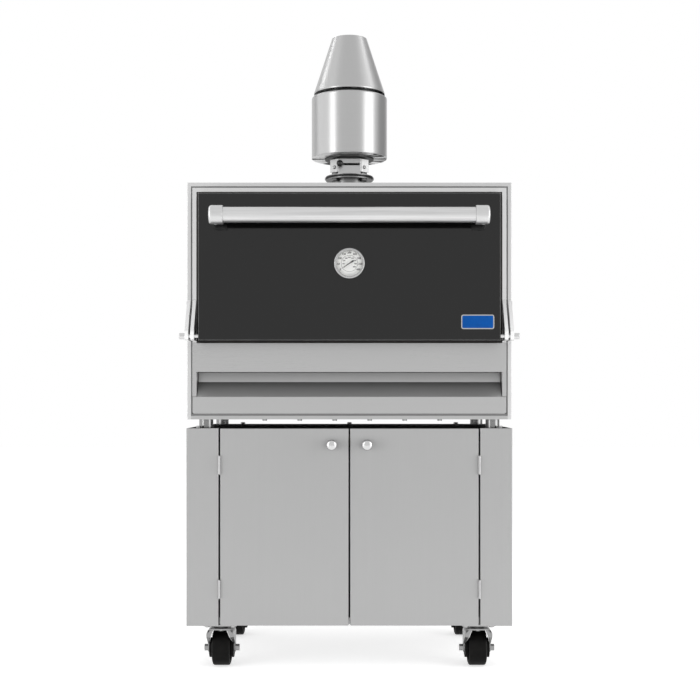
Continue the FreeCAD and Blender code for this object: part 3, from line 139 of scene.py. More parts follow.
@dataclass
class Patch:
    """Grid of points, rows by columns by three, that closes along its columns and may along its rows."""

    points: np.ndarray
    wrap_rows: bool = False

    def quads(self) -> np.ndarray:
        """Gives the corner numbers of every cell of the grid.

        Returns:
            An array of four corner numbers a cell.
        """
        rows, columns = self.points.shape[:2]
        count = rows if self.wrap_rows else rows - 1
        row, column = np.meshgrid(np.arange(count), np.arange(columns), indexing="ij")
        below, beside = (row + 1) % rows, (column + 1) % columns
        corners = [row * columns + column, row * columns + beside,
                   below * columns + beside, below * columns + column]
        return np.stack(corners, axis=-1).reshape(-1, 4)

    def moved(self, place: np.ndarray) -> Patch:
        """Copy of the patch, carried by a matrix."""
        return Patch(self.points @ place[:3, :3].T + place[:3, 3], self.wrap_rows)


def stamped(patch: Patch, places: Iterable[np.ndarray]) -> list[Patch]:
    """Copies of a patch, one for each matrix."""
    return [patch.moved(place) for place in places]


def angles(count: int) -> np.ndarray:
    """Even angles round a full turn, the last one short of the first."""
    return np.linspace(0, FULL_TURN, count, endpoint=False)


def turned(outline: Outline, count: int = 48) -> Patch:
    """Turns an outline about Z: x = r cos a, y = r sin a, z = h.

    Args:
        outline: Radius and height of each row, from one pole to the other.
        count: Number of columns round the axis.

    Returns:
        A patch that is closed where its first and last radius are zero.
    """
    rows = np.asarray(outline, float)
    angle = angles(count)
    radius, height = rows[:, :1], np.repeat(rows[:, 1:], count, axis=1)
    return Patch(np.stack([radius * np.cos(angle), radius * np.sin(angle), height], axis=-1))


def hoop(inner: float, outer: float, bottom: float, top: float, count: int = 96) -> Patch:
    """Ring with a rectangular section: the rectangle turned about Z.

    Args:
        inner: Radius inside.
        outer: Radius outside.
        bottom: Level of the lower face.
        top: Level of the upper face.
        count: Number of columns round the axis.

    Returns:
        A patch that is closed both ways.
    """
    section = [(inner, bottom), (outer, bottom), (outer, top), (inner, top)]
    return Patch(turned(section, count).points, wrap_rows=True)


def dome_rows(radius: float, height: float, base: float = 0.0, count: int = 6) -> list[tuple[float, float]]:
    """Outline of a dome: r = R sin t and h = b + H cos t, for t from a right angle to zero.

    Args:
        radius: Radius R at the foot.
        height: Height H of the dome alone.
        base: Level b of the foot.
        count: Number of rows.

    Returns:
        Radius and height of each row, upwards.
    """
    lift = np.linspace(math.pi / 2, 0, count)
    return list(zip(radius * np.sin(lift), base + height * np.cos(lift)))


def domed(diameter: float, height: float) -> Patch:
    """Low round head: a dome on a flat foot."""
    return turned([(0, 0), *dome_rows(diameter / 2, height)], count=20)


def pan_head(diameter: float, height: float) -> Patch:
    """Round screw head with a dished socket: its outline, turned."""
    return turned([(across * diameter / 2, up * height) for across, up in PAN_HEAD], count=24)


def six_sided(width: float, height: float, chamfer: float, count: int = 36) -> Patch:
    """Hexagon head with a turned chamfer.

    The radius at angle a is w / (2 cos b), where b is a folded into thirty degrees each way
    from the middle of a side. The top row is cut to a circle inside the sides.

    Args:
        width: Width across the flats.
        height: Height of the head.
        chamfer: Height of the turned edge.
        count: Number of columns round the axis, a multiple of six.

    Returns:
        A closed patch on the plane of its seat.
    """
    angle = angles(count)
    folded = np.mod(angle, math.pi / 3) - math.pi / 6
    sides = width / 2 / np.cos(folded)
    land = np.minimum(sides, width / 2 * HEAD_LAND)
    radius = np.stack([sides * 0, sides, sides, land, sides * 0])
    level = np.array([0.0, 0.0, height - chamfer, height, height])[:, None] + sides * 0
    return Patch(np.stack([radius * np.cos(angle), radius * np.sin(angle), level], axis=-1))


def rounded_outline(width: float, height: float, corner: float, count: int = 7) -> np.ndarray:
    """Rectangle with round corners: four centres plus quarter circles, counter-clockwise.

    Args:
        width: Size along the first axis.
        height: Size along the second axis.
        corner: Radius of the corners.
        count: Points on each quarter circle.

    Returns:
        An array of two coordinates a point.
    """
    quarter = np.linspace(0, math.pi / 2, count)
    start = np.arange(4)[:, None] * math.pi / 2
    centres = np.array(CORNERS) * (np.array([width, height]) / 2 - corner)
    turn = np.stack([np.cos(start + quarter), np.sin(start + quarter)], axis=-1)
    return (centres[:, None, :] + corner * turn).reshape(-1, 2)


def resample(outline: np.ndarray, count: int) -> np.ndarray:
    """Even points along a closed outline, by its running length.

    Args:
        outline: Corner points, two coordinates each.
        count: Number of points to give.

    Returns:
        Points at even distances.
    """
    closed = np.concatenate([outline, outline[:1]])
    run = np.concatenate([[0], np.cumsum(np.linalg.norm(np.diff(closed, axis=0), axis=1))])
    wanted = np.linspace(0, run[-1], count, endpoint=False)
    return np.stack([np.interp(wanted, run, closed[:, axis]) for axis in (0, 1)], axis=-1)


def pressed(width: float, height: float, corner: float, steps: Outline) -> Patch:
    """Plate with round corners, stacked from outlines that draw in as they rise.

    Args:
        width: Size along X.
        height: Size along Y.
        corner: Radius of the corners at no inset.
        steps: Inset and level of each outline, from the bottom to the top.

    Returns:
        A closed patch whose first and last rows are points on the middle line.
    """
    least = min(corner, LEAST_CORNER)
    rings = [rounded_outline(width - 2 * inset, height - 2 * inset, max(corner - inset, least))
             for inset, _ in steps]
    levels = [level for _, level in steps]
    flat = np.stack([rings[0] * 0, *rings, rings[0] * 0])
    level = np.array([levels[0], *levels, levels[-1]])[:, None, None]
    return Patch(np.concatenate([flat, np.broadcast_to(level, flat.shape[:2] + (1,))], axis=-1))


def plate(width: float, height: float, corner: float, sheet: float) -> Patch:
    """Flat plate with round corners and square edges."""
    return pressed(width, height, corner, [(0, 0), (0, sheet)])


def round_section(radius: float, count: int) -> np.ndarray:
    """Circle as one section for a swept path: r cos a aside and r sin a upward."""
    ring = angles(count)
    return radius * np.stack([np.cos(ring), np.sin(ring)], axis=-1)[None]


def swept(section: np.ndarray, path: np.ndarray, upward: Place, closed: bool) -> Patch:
    """Carries a section along a flat path.

    With the path's direction t and the upward axis u, a point is p + x (t cross u) + y u.

    Args:
        section: Two coordinates a point and a row, as (rows or one, points, two).
        path: Points of the path, as (rows, three).
        upward: Axis square to the plane of the path.
        closed: Whether the path ends where it starts.

    Returns:
        A patch whose open ends are drawn together on the path.
    """
    axis = np.asarray(upward, float)
    if closed:
        ahead = np.roll(path, -1, axis=0) - np.roll(path, 1, axis=0)
    else:
        ahead = np.gradient(path, axis=0)
    ahead /= np.linalg.norm(ahead, axis=1, keepdims=True)
    aside = np.cross(ahead, axis)[:, None, :]
    points = path[:, None, :] + section[..., :1] * aside + section[..., 1:] * axis
    if not closed:
        ends = np.ones_like(points[:1])
        points = np.concatenate([path[0] * ends, points, path[-1] * ends])
    return Patch(points, wrap_rows=closed)


def weld_bead(start: Place, end: Place, upward: Place, radius: float = 0.0016,
              pitch: float = 0.0026, ripple: float = 0.12, steps: int = 4) -> Patch:
    """Rippled bead between two points: the radius at arc length s is r (1 + k |sin(pi s / p)|).

    Args:
        start: First point.
        end: Last point.
        upward: Axis square to the bead.
        radius: Least radius r.
        pitch: Length p of a ripple.
        ripple: Share k that a ripple adds to the radius.
        steps: Number of rows to a ripple.

    Returns:
        A closed patch.
    """
    first, last = np.asarray(start, float), np.asarray(end, float)
    length = float(np.linalg.norm(last - first))
    ripples = max(int(length / pitch), 2)
    along = np.linspace(0, 1, ripples * steps)[:, None]
    swell = 1 + ripple * np.abs(np.sin(math.pi * along * length / pitch))[:, :, None]
    section = round_section(radius, count=10) * swell
    return swept(section, first + along * (last - first), upward, closed=False)


def aimed(place: Place, direction: Place) -> np.ndarray:
    """Matrix that sets a piece built on +Z at a place, facing a direction.

    Args:
        place: Where the piece's origin goes.
        direction: Way that its Z axis points.

    Returns:
        A matrix of four by four.
    """
    turn = Vector(direction).to_track_quat("Z", "Y").to_matrix().to_4x4()
    turn.translation = Vector(place)
    return np.array(turn)


def facing_front(place: Place) -> np.ndarray:
    """Matrix that lays a flat piece on a wall that faces -Y, its X across and its Y up.

    Args:
        place: Where the piece's origin goes.

    Returns:
        A matrix of four by four.
    """
    made = np.eye(4)
    made[:3, :3] = [[1, 0, 0], [0, 0, -1], [0, 1, 0]]
    made[:3, 3] = place
    return made


def spun(turn: float, reach: float = 0.0) -> np.ndarray:
    """Matrix that moves a flat piece out along X and then turns it about Z.

    Args:
        turn: Angle in radians.
        reach: Distance from the axis.

    Returns:
        A matrix of four by four.
    """
    run, rise = math.cos(turn), math.sin(turn)
    made = np.eye(4)
    made[:2, :2] = [[run, -rise], [rise, run]]
    made[:2, 3] = reach * run, reach * rise
    return made


# Finishes


def grey(level: float) -> Colour:
    """Colour of one level all through."""
    return level, level, level


class Shader:
    """Node tree of a material or of the world, with a short call for each kind of node in use."""

    EDGE_SAMPLES = 4
    # Sockets of a mix node that is set to colours
    MIX_AMOUNT, MIX_FIRST, MIX_SECOND, MIX_RESULT = 0, 6, 7, 2

    def __init__(self, owner: bpy.types.Material | bpy.types.World, surface: str = "Principled BSDF") -> None:
        """Takes the tree of a new material or world.

        Args:
            owner: What the tree belongs to.
            surface: Name of the node whose inputs are set at the end.
        """
        owner.use_nodes = True
        self.tree = owner.node_tree
        self.surface = self.tree.nodes[surface]

    def node(self, kind: str, inputs: dict[str | int, object], output: str | int = 0,
             **settings: object) -> Socket:
        """Adds a node and gives one of its outputs.

        Args:
            kind: Name of the node type after its prefix.
            inputs: Value or linked output for each input, by name or number.
            output: Name or number of the output to give.
            settings: Properties of the node itself.

        Returns:
            The output socket.
        """
        made = self.tree.nodes.new(f"ShaderNode{kind}")
        for key, setting in settings.items():
            setattr(made, key, setting)
        self.feed(made, inputs)
        return made.outputs[output]

    def feed(self, node: bpy.types.Node, inputs: dict[str | int, object]) -> None:
        """Links or sets inputs of a node.

        Args:
            node: The node.
            inputs: Value or linked output for each input, by name or number.
        """
        for key, given in inputs.items():
            if isinstance(given, Socket):
                self.tree.links.new(given, node.inputs[key])
            else:
                node.inputs[key].default_value = given

    def finish(self, **inputs: object) -> None:
        """Sets the inputs of the surface, named with underscores for spaces."""
        self.feed(self.surface, {name.replace("_", " "): given for name, given in inputs.items()})

    def place(self) -> Socket:
        """Place of a point on the piece's own coordinates."""
        return self.node("TexCoord", {}, "Object")

    def along(self, axis: Axis) -> Socket:
        """Place of a point along one axis."""
        return self.node("SeparateXYZ", {"Vector": self.place()}, axis.value)

    def noise(self, cells: float | Sequence[float], detail: float) -> Socket:
        """Noise from zero to one, with cells per metre, alike or on each axis."""
        scaled = self.node("Mapping", {"Vector": self.place(), "Scale": np.broadcast_to(cells, 3).tolist()})
        return self.node("TexNoise", {"Vector": scaled, "Scale": 1.0, "Detail": detail})

    def spots(self, cells: float) -> Socket:
        """Distance to the nearest of scattered points, with cells per metre."""
        return self.node("TexVoronoi", {"Vector": self.place(), "Scale": cells}, "Distance")

    def ramp(self, amount: Socket, start: float, end: float, low: float, high: float) -> Socket:
        """Maps a range of values to another one, level outside it."""
        ends = {"From Min": start, "From Max": end, "To Min": low, "To Max": high}
        return self.node("MapRange", {"Value": amount, **ends})

    def share(self, amount: Socket, low: float, high: float) -> Socket:
        """Value between two, by an amount from zero to one."""
        return self.ramp(amount, 0.0, 1.0, low, high)

    def between(self, amount: Socket, low: float, high: float, spread: float = 0.3) -> Socket:
        """Maps a noise, which gathers round a half, to a range of values."""
        return self.ramp(amount, 0.5 - spread, 0.5 + spread, low, high)

    def step(self, amount: Socket, place: float, blend: float) -> Socket:
        """One past a place and zero before it, or the other way round for a negative blend."""
        return self.ramp(amount, place - blend, place + blend, 0.0, 1.0)

    def added(self, first: Socket, second: Socket | float) -> Socket:
        """Sum of two values."""
        return self.node("Math", {0: first, 1: second}, operation="ADD")

    def less(self, first: Socket, second: Socket | float) -> Socket:
        """First value less the second."""
        return self.node("Math", {0: first, 1: second}, operation="SUBTRACT")

    def times(self, first: Socket, second: Socket | float) -> Socket:
        """Product of two values."""
        return self.node("Math", {0: first, 1: second}, operation="MULTIPLY")

    def mixed(self, amount: Socket, first: Colour, second: Colour) -> Socket:
        """Colour between two, by an amount from zero to one."""
        inputs = {self.MIX_AMOUNT: amount, self.MIX_FIRST: (*first, 1.0), self.MIX_SECOND: (*second, 1.0)}
        return self.node("Mix", inputs, self.MIX_RESULT, data_type="RGBA")

    def crossed(self, first: Socket | Sequence[float], second: Socket) -> Socket:
        """Cross product of two vectors."""
        return self.node("VectorMath", {0: first, 1: second}, operation="CROSS_PRODUCT")

    def soft_edges(self, radius: float) -> Socket:
        """Normal of the surface with its sharp edges rounded."""
        return self.node("Bevel", {"Radius": radius}, "Normal", samples=self.EDGE_SAMPLES)

    def edge_amount(self, radius: float) -> Socket:
        """Amount from zero on flat stretches to about one along sharp edges.

        Args:
            radius: Width of the stretch beside an edge.

        Returns:
            The amount.
        """
        normals = {0: self.soft_edges(radius), 1: self.node("NewGeometry", {}, "True Normal")}
        facing = self.node("VectorMath", normals, "Value", operation="DOT_PRODUCT")
        return self.ramp(facing, 1.0, 0.8, 0.0, 1.0)

    def bump(self, height: Socket, depth: float, edge: float | None = None) -> Socket:
        """Normal bent by a height.

        Args:
            height: Height from zero to one.
            depth: Depth of its full range.
            edge: Radius that sharp edges are rounded with first.

        Returns:
            The bent normal.
        """
        inputs: dict[str | int, object] = {"Height": height, "Distance": depth, "Strength": 1.0}
        if edge is not None:
            inputs["Normal"] = self.soft_edges(edge)
        return self.node("Bump", inputs)

    def seen_level(self, unseen: float, seen: float) -> Socket:
        """One level for rays from the camera, a mirror or a lens, and another one for the rest.

        Args:
            unseen: Level where the rays only light something.
            seen: Level where the rays are seen.

        Returns:
            The level.
        """
        rays = [self.node("LightPath", {}, f"Is {kind} Ray") for kind in ("Camera", "Glossy", "Transmission")]
        total = rays[0]
        for ray in rays[1:]:
            total = self.node("Math", {0: total, 1: ray}, operation="MAXIMUM")
        return self.share(total, unseen, seen)


@dataclass(frozen=True)
class Finish:
    """Finish of one kind of piece, with the record's slot that it belongs to."""

    name: str
    slot: Slot

    def material(self) -> bpy.types.Material:
        """Gives the material, made at its first use.

        Returns:
            The material of this finish.
        """
        found = bpy.data.materials.get(self.name)
        if found:
            return found
        made = bpy.data.materials.new(self.name)
        self.paint(Shader(made))
        return made

    def paint(self, shader: Shader) -> None:
        """Builds the nodes of the material."""
        raise NotImplementedError


@dataclass(frozen=True)
class BrushedSteel(Finish):
    """Stainless sheet with fine brush lines, faint bands along them and soft smudges."""

    grain: Grain = Grain.ACROSS
    tone: float = 0.45
    roughness: float = 0.42
    streak: float = 0.02
    edge: float = 0.0012
    anisotropy: float = 0.7
    band_share: float = 0.2
    lines_to_a_band: float = 12.0

    def paint(self, shader: Shader) -> None:
        """Streaked colour and roughness, with brush lines as bump on softened edges.

        Args:
            shader: Tree of the new material.
        """
        lines = shader.noise(self.grain.cells, detail=4.0)
        bands = shader.noise(np.array(self.grain.cells) / self.lines_to_a_band, detail=2.0)
        smudge = shader.noise(cells=5.0, detail=2.0)
        streaks = shader.added(shader.times(lines, 1 - self.band_share), shader.times(bands, self.band_share))
        change = shader.added(shader.between(lines, -0.04, 0.04), shader.between(smudge, -0.02, 0.02))
        shade = shader.between(streaks, 1 - self.streak, 1 + self.streak, spread=0.2)
        shader.finish(Base_Color=shader.times(shade, self.level(shader)), Metallic=1.0,
                      Roughness=shader.added(change, self.haze(shader)), Anisotropic=self.anisotropy,
                      Tangent=self.tangent(shader), Normal=shader.bump(lines, depth=0.00001, edge=self.edge))

    def level(self, shader: Shader) -> Socket | float:
        """Brightness of the bare sheet."""
        return self.tone

    def haze(self, shader: Shader) -> Socket | float:
        """Roughness of the bare sheet."""
        return self.roughness

    def tangent(self, shader: Shader) -> Socket:
        """Part of the grain's spread axis that lies in the surface: n cross (axis cross n)."""
        normal = shader.node("NewGeometry", {}, "Normal")
        return shader.crossed(normal, shader.crossed(self.grain.spread, normal))


@dataclass(frozen=True)
class FlangedSteel(BrushedSteel):
    """Steel with one tone between two places along an axis and another elsewhere, the two of them painted
    light and shade.
    """

    # Tone between the two places; its difference from the other tone is painted light and shade
    bright: float = 0.64
    bottom: float = -3.0
    top: float = 3.0
    axis: Axis = Axis.HEIGHT
    blend: float = 0.001

    def level(self, shader: Shader) -> Socket | float:
        """One tone between the places and another elsewhere, the difference being painted light and shade.

        Args:
            shader: Tree of the new material.

        Returns:
            The tone.
        """
        place = shader.along(self.axis)
        above = shader.step(place, self.bottom, self.blend)
        below = shader.step(place, self.top, -self.blend)
        return shader.share(shader.times(above, below), self.tone, self.bright)


@dataclass(frozen=True)
class TurnedSheet(BrushedSteel):
    """Rolled sheet whose flat bottom is painted paler, as painted light on the underside, and a little
    duller.
    """

    bottom: float = 1.4968
    # Tone of the underside, raised as painted light
    pale: float = 0.72
    dull: float = 0.42
    blend: float = 0.0004

    def level(self, shader: Shader) -> Socket | float:
        """Tone above the bottom, and the paler tone of painted light on it."""
        return shader.share(self.above(shader), self.pale, self.tone)

    def haze(self, shader: Shader) -> Socket | float:
        """Bright finish above the bottom and the dull one on it."""
        return shader.share(self.above(shader), self.dull, self.roughness)

    def above(self, shader: Shader) -> Socket:
        """One above the bottom and zero on it."""
        return shader.step(shader.along(Axis.HEIGHT), self.bottom, self.blend)


@dataclass(frozen=True)
class SootedSheet(BrushedSteel):
    """Drawer front painted darker under the sill, most in the crease above its slope: painted shade from the
    sill's overhang.
    """

    slope_bottom: float = 0.768
    crease: float = 0.81
    band_top: float = 0.837
    crease_share: float = 0.36
    band_shares: tuple[float, float] = (0.85, 0.6)
    blend: float = 0.0005

    def level(self, shader: Shader) -> Socket | float:
        """Tone times a share that falls up the slope, and again up the band above it.

        Args:
            shader: Tree of the new material.

        Returns:
            The tone.
        """
        upward = shader.along(Axis.HEIGHT)
        slope = shader.ramp(upward, self.slope_bottom, self.crease, 1.0, self.crease_share)
        band = shader.ramp(upward, self.crease, self.band_top, *self.band_shares)
        above = shader.step(upward, self.crease, self.blend)
        return shader.times(shader.added(slope, shader.times(above, shader.less(band, slope))), self.tone)


@dataclass(frozen=True)
class GripSteel(BrushedSteel):
    """Bright tube painted dark low on its back: painted shade, which the glossy door mirrors as the dark band
    under the handle.

    The painted shade lies where the depth less the height passes a limit, which is the quarter between the
    tube's lowest line and the line nearest to the door.
    """

    # Tone of the painted shade on the tube's lower back
    stain: float = 0.03
    limit: float = -1.6012
    blend: float = 0.0006

    def level(self, shader: Shader) -> Socket | float:
        """Tone all round, and the painted shade's tone past the limit."""
        slant = shader.less(shader.along(Axis.DEPTH), shader.along(Axis.HEIGHT))
        return shader.share(shader.step(slant, self.limit, self.blend), self.tone, self.stain)


@dataclass(frozen=True)
class PolishedSteel(Finish):
    """Bright turned or polished steel with faint lines round it."""

    tone: float = 0.6
    roughness: float = 0.12

    def paint(self, shader: Shader) -> None:
        """Nearly even colour, with a little haze in the roughness.

        Args:
            shader: Tree of the new material.
        """
        lines = shader.noise(Grain.ROUND.cells, detail=3.0)
        haze = shader.noise(cells=9.0, detail=3.0)
        rough = shader.between(haze, self.roughness - 0.02, self.roughness + 0.03)
        dark, light = grey(self.tone * 0.97), grey(self.tone * 1.02)
        shader.finish(Base_Color=shader.mixed(shader.between(lines, 0.0, 1.0), dark, light), Metallic=1.0,
                      Roughness=shader.added(shader.between(lines, -0.02, 0.02), rough),
                      Normal=shader.bump(lines, depth=0.000006, edge=0.0008))


@dataclass(frozen=True)
class ZincSteel(Finish):
    """Plated steel with a cloudy spangle."""

    tone: float = 0.42

    def paint(self, shader: Shader) -> None:
        """Cloudy colour with small flakes, duller in the flakes.

        Args:
            shader: Tree of the new material.
        """
        cloud = shader.noise(cells=60.0, detail=4.0)
        flakes = shader.spots(cells=420.0)
        amount = shader.times(shader.between(cloud, 0.2, 1.0), flakes)
        dark, light = grey(self.tone * 0.9), grey(self.tone * 1.1)
        shader.finish(Base_Color=shader.mixed(amount, dark, light), Metallic=1.0,
                      Roughness=shader.between(cloud, 0.26, 0.42),
                      Normal=shader.bump(flakes, depth=0.00002, edge=0.0008))


@dataclass(frozen=True)
class BlackEnamel(Finish):
    """Baked matt black coat with a fine orange peel, lighter along its edges: a little wear, and on the door
    mostly a painted highlight.
    """

    tone: float = 0.003
    roughness: float = 0.08
    specular: float = 0.4
    rub: float = 0.09
    rub_width: float = 0.0015

    def paint(self, shader: Shader) -> None:
        """Dark coat with peel as bump, and a lighter line along the edges that is wear with a painted
        highlight.

        Args:
            shader: Tree of the new material.
        """
        peel = shader.noise(cells=900.0, detail=2.0)
        dust = shader.noise(cells=18.0, detail=5.0)
        wear_and_highlight = shader.times(shader.edge_amount(self.rub_width), shader.between(dust, 0.3, 0.8))
        shader.finish(Base_Color=shader.mixed(wear_and_highlight, grey(self.tone), grey(self.rub)),
                      Roughness=shader.between(dust, self.roughness * 0.8, self.roughness * 1.2),
                      Specular_IOR_Level=self.specular, Normal=shader.bump(peel, depth=0.000004, edge=0.0025))


@dataclass(frozen=True)
class ScaledSteel(Finish):
    """Hot-rolled steel with dark scale and warm rusty clouds."""

    scale: Colour = (0.035, 0.034, 0.034)
    rust: Colour = (0.11, 0.098, 0.088)

    def paint(self, shader: Shader) -> None:
        """Dark scale over browner steel, with a pitted bump.

        Args:
            shader: Tree of the new material.
        """
        scale = shader.noise(cells=26.0, detail=8.0)
        pits = shader.noise(cells=420.0, detail=4.0)
        shader.finish(Base_Color=shader.mixed(shader.between(scale, 0.0, 1.0), self.scale, self.rust),
                      Metallic=0.55, Roughness=shader.between(scale, 0.5, 0.72),
                      Normal=shader.bump(pits, depth=0.0001, edge=0.0012))


@dataclass(frozen=True)
class CastIron(Finish):
    """Sand-cast iron, dark and grainy."""

    dark: Colour = (0.03, 0.029, 0.028)
    light: Colour = (0.07, 0.066, 0.062)

    def paint(self, shader: Shader) -> None:
        """Grain as bump, with cloudy colour.

        Args:
            shader: Tree of the new material.
        """
        grain = shader.noise(cells=700.0, detail=6.0)
        cloud = shader.noise(cells=30.0, detail=4.0)
        shader.finish(Base_Color=shader.mixed(shader.between(cloud, 0.0, 1.0), self.dark, self.light),
                      Metallic=0.4, Roughness=shader.between(grain, 0.6, 0.85),
                      Normal=shader.bump(grain, depth=0.0003, edge=0.0025))


@dataclass(frozen=True)
class Rubber(Finish):
    """Black wheel rubber with dust in its grain."""

    clean: Colour = (0.004, 0.004, 0.004)
    dusty: Colour = (0.011, 0.0105, 0.01)

    def paint(self, shader: Shader) -> None:
        """Fine grain, greyer where dust lies.

        Args:
            shader: Tree of the new material.
        """
        grain = shader.noise(cells=1500.0, detail=2.0)
        dust = shader.noise(cells=45.0, detail=5.0)
        shader.finish(Base_Color=shader.mixed(shader.between(dust, 0.0, 1.0), self.clean, self.dusty),
                      Roughness=shader.between(dust, 0.42, 0.6), Specular_IOR_Level=0.08,
                      Normal=shader.bump(grain, depth=0.00006))


@dataclass(frozen=True)
class Fibre(Finish):
    """Wool or woven rope, with fibres along every way and soot in the hollows."""

    light: Colour = (0.55, 0.5, 0.36)
    dark: Colour = (0.3, 0.25, 0.15)
    cells: float = 300.0

    def paint(self, shader: Shader) -> None:
        """Fibres as colour and bump.

        Args:
            shader: Tree of the new material.
        """
        strands = shader.noise((self.cells, self.cells * 0.2, self.cells), detail=6.0)
        soot = shader.noise(cells=14.0, detail=4.0)
        amount = shader.times(shader.between(strands, 0.0, 1.0), shader.between(soot, 0.5, 1.0))
        shader.finish(Base_Color=shader.mixed(amount, self.dark, self.light), Roughness=0.95,
                      Specular_IOR_Level=0.1, Normal=shader.bump(strands, depth=0.0006))


@dataclass(frozen=True)
class Paint(Finish):
    """Even paint, print or plastic of one colour, with slight mottling."""

    colour: Colour = (0.8, 0.8, 0.8)
    gloss: float = 0.3
    mottle: float = 0.06
    specular: float = 0.5

    def paint(self, shader: Shader) -> None:
        """Mottled colour with a faint ripple.

        Args:
            shader: Tree of the new material.
        """
        cloud = shader.noise(cells=80.0, detail=4.0)
        low = tuple(part * (1 - self.mottle) for part in self.colour)
        shader.finish(Base_Color=shader.mixed(shader.between(cloud, 0.0, 1.0), low, self.colour),
                      Roughness=shader.between(cloud, self.gloss * 0.85, self.gloss * 1.15),
                      Specular_IOR_Level=self.specular, Normal=shader.bump(cloud, depth=0.00002))


@dataclass(frozen=True)
class ClearGlass(Finish):
    """Flat clear lens with a faint haze."""

    def paint(self, shader: Shader) -> None:
        """Clear glass, a little rougher where it is hazed.

        Args:
            shader: Tree of the new material.
        """
        haze = shader.noise(cells=60.0, detail=3.0)
        shader.finish(Base_Color=WHITE, Roughness=shader.between(haze, 0.0, 0.03),
                      Transmission_Weight=1.0, IOR=1.15)


# Brush lines along a tube or pin, with softer edges than a sheet's
TUBE_BRUSH = {"grain": Grain.ALONG, "roughness": 0.34, "edge": 0.0015, "anisotropy": 0.5}

SHEET = BrushedSteel("sheet_across", Slot.STAINLESS)
CABINET_SHEET = BrushedSteel("sheet_cabinet", Slot.STAINLESS, Grain.UPRIGHT, tone=0.377)
# Brackets toned far brighter than the other sheet: painted light on the brackets
BRACKET_LIT_SHEET = BrushedSteel("sheet_bracket_lit", Slot.STAINLESS, Grain.UPRIGHT, tone=0.8)
# Seam strips toned darker than the other sheet: painted shade in the seams
SEAM_SHADE_SHEET = BrushedSteel("sheet_seam_shade", Slot.STAINLESS, Grain.UPRIGHT, tone=0.2)
# Frame painted brighter above the sill's top: painted light on its top strip and sides
FRAME_SHEET = FlangedSteel("sheet_frame", Slot.STAINLESS, roughness=0.3, bottom=0.9215)
# Drawer front with painted shade under the sill
DRAWER_SHEET = SootedSheet("sheet_drawer", Slot.STAINLESS)
# Damper housing painted dark below and above its plate: painted shade on the flanges, plain tone between
DAMPER_SHEET = FlangedSteel("sheet_damper", Slot.STAINLESS, tone=0.1, bright=0.57, bottom=1.4395, top=1.4868)
# Casing painted brighter on its front flange than on its sides and roof: painted light on the flange
CASING_SHEET = FlangedSteel("sheet_casing", Slot.STAINLESS, Grain.DEEP, tone=0.4, bright=0.6, top=-0.2465,
                            axis=Axis.DEPTH)
TURNED_SHEET = TurnedSheet("sheet_round", Slot.BRIGHT, Grain.ROUND, tone=0.44, roughness=0.35, edge=0.001,
                           anisotropy=0.6)
PIN_STEEL = BrushedSteel("pin_satin", Slot.STAINLESS, tone=0.6, streak=0.07, **TUBE_BRUSH)
# Handle tube with painted shade low on its back
HANDLE_STEEL = GripSteel("handle_satin", Slot.STAINLESS, tone=0.6, streak=0.14, **TUBE_BRUSH)
# Handle ends painted near black behind the caps: painted shade on the posts
HANDLE_END = FlangedSteel("handle_end", Slot.STAINLESS, tone=0.02, streak=0.05, bright=0.59, top=-0.3395,
                          axis=Axis.DEPTH, **TUBE_BRUSH)
POLISHED = PolishedSteel("steel_polished", Slot.BRIGHT)
LEG_STEEL = PolishedSteel("steel_leg", Slot.BRIGHT, tone=0.24, roughness=0.2)
# Flue pipe set at a low tone, darker than the other polished steel
DARK_POLISHED = PolishedSteel("steel_dark", Slot.BRIGHT, tone=0.2, roughness=0.36)
TRIM_STEEL = PolishedSteel("steel_trim", Slot.BRIGHT, tone=0.46, roughness=0.16)
KNOB_STEEL = PolishedSteel("steel_knob", Slot.BRIGHT, tone=0.57, roughness=0.24)
ZINC = ZincSteel("steel_zinc", Slot.ZINC)
FORK_ZINC = ZincSteel("zinc_fork", Slot.ZINC, tone=0.3)
# Flange bolts set at a low tone, darker than the other zinc
DARK_ZINC = ZincSteel("zinc_dark", Slot.ZINC, tone=0.17)
# Door coat with a strong light line on its edges: painted highlight on the bent edges
ENAMEL = BlackEnamel("enamel_black", Slot.ENAMEL, rub=0.5, rub_width=0.003)
# Black coat on the stainless deck: painted shade in the gap under the oven
DECK_SHADE_BLACK = BlackEnamel("deck_painted_shade", Slot.STAINLESS, tone=0.012, roughness=0.8, specular=0.1)
# Black rings: a dark seal at the flange joint, and painted shade in the neck's groove under the cone
BLACK_SEAL_AND_SHADE = BlackEnamel("black_seal_and_neck_shade", Slot.SCALE, roughness=0.2, specular=0.2)
SCALED = ScaledSteel("steel_scaled", Slot.SCALE)
SOOTED = ScaledSteel("steel_sooted", Slot.SCALE, scale=(0.008, 0.008, 0.008), rust=(0.035, 0.031, 0.028))
IRON = CastIron("iron_cast", Slot.IRON)
RUBBER = Rubber("rubber_black", Slot.RUBBER)
WOOL = Fibre("wool_mineral", Slot.WOOL)
ROPE = Fibre("rope_glass", Slot.ROPE, light=(0.52, 0.5, 0.46), dark=(0.16, 0.15, 0.14), cells=900.0)
DIAL_WHITE = Paint("paint_dial", Slot.DIAL, (0.86, 0.86, 0.84), gloss=0.35)
PRINT_BLACK = Paint("print_black", Slot.NEEDLE, (0.02, 0.02, 0.022), gloss=0.4)
BADGE_BLUE = Paint("paint_badge", Slot.BADGE, (0.003, 0.096, 0.41), gloss=0.18, mottle=0.12, specular=0.1)
BALL_BLACK = Paint("ball_black", Slot.BALL, (0.012, 0.012, 0.012), gloss=0.16, mottle=0.3)
GLASS = ClearGlass("lens_glass", Slot.GLASS)


# Pieces


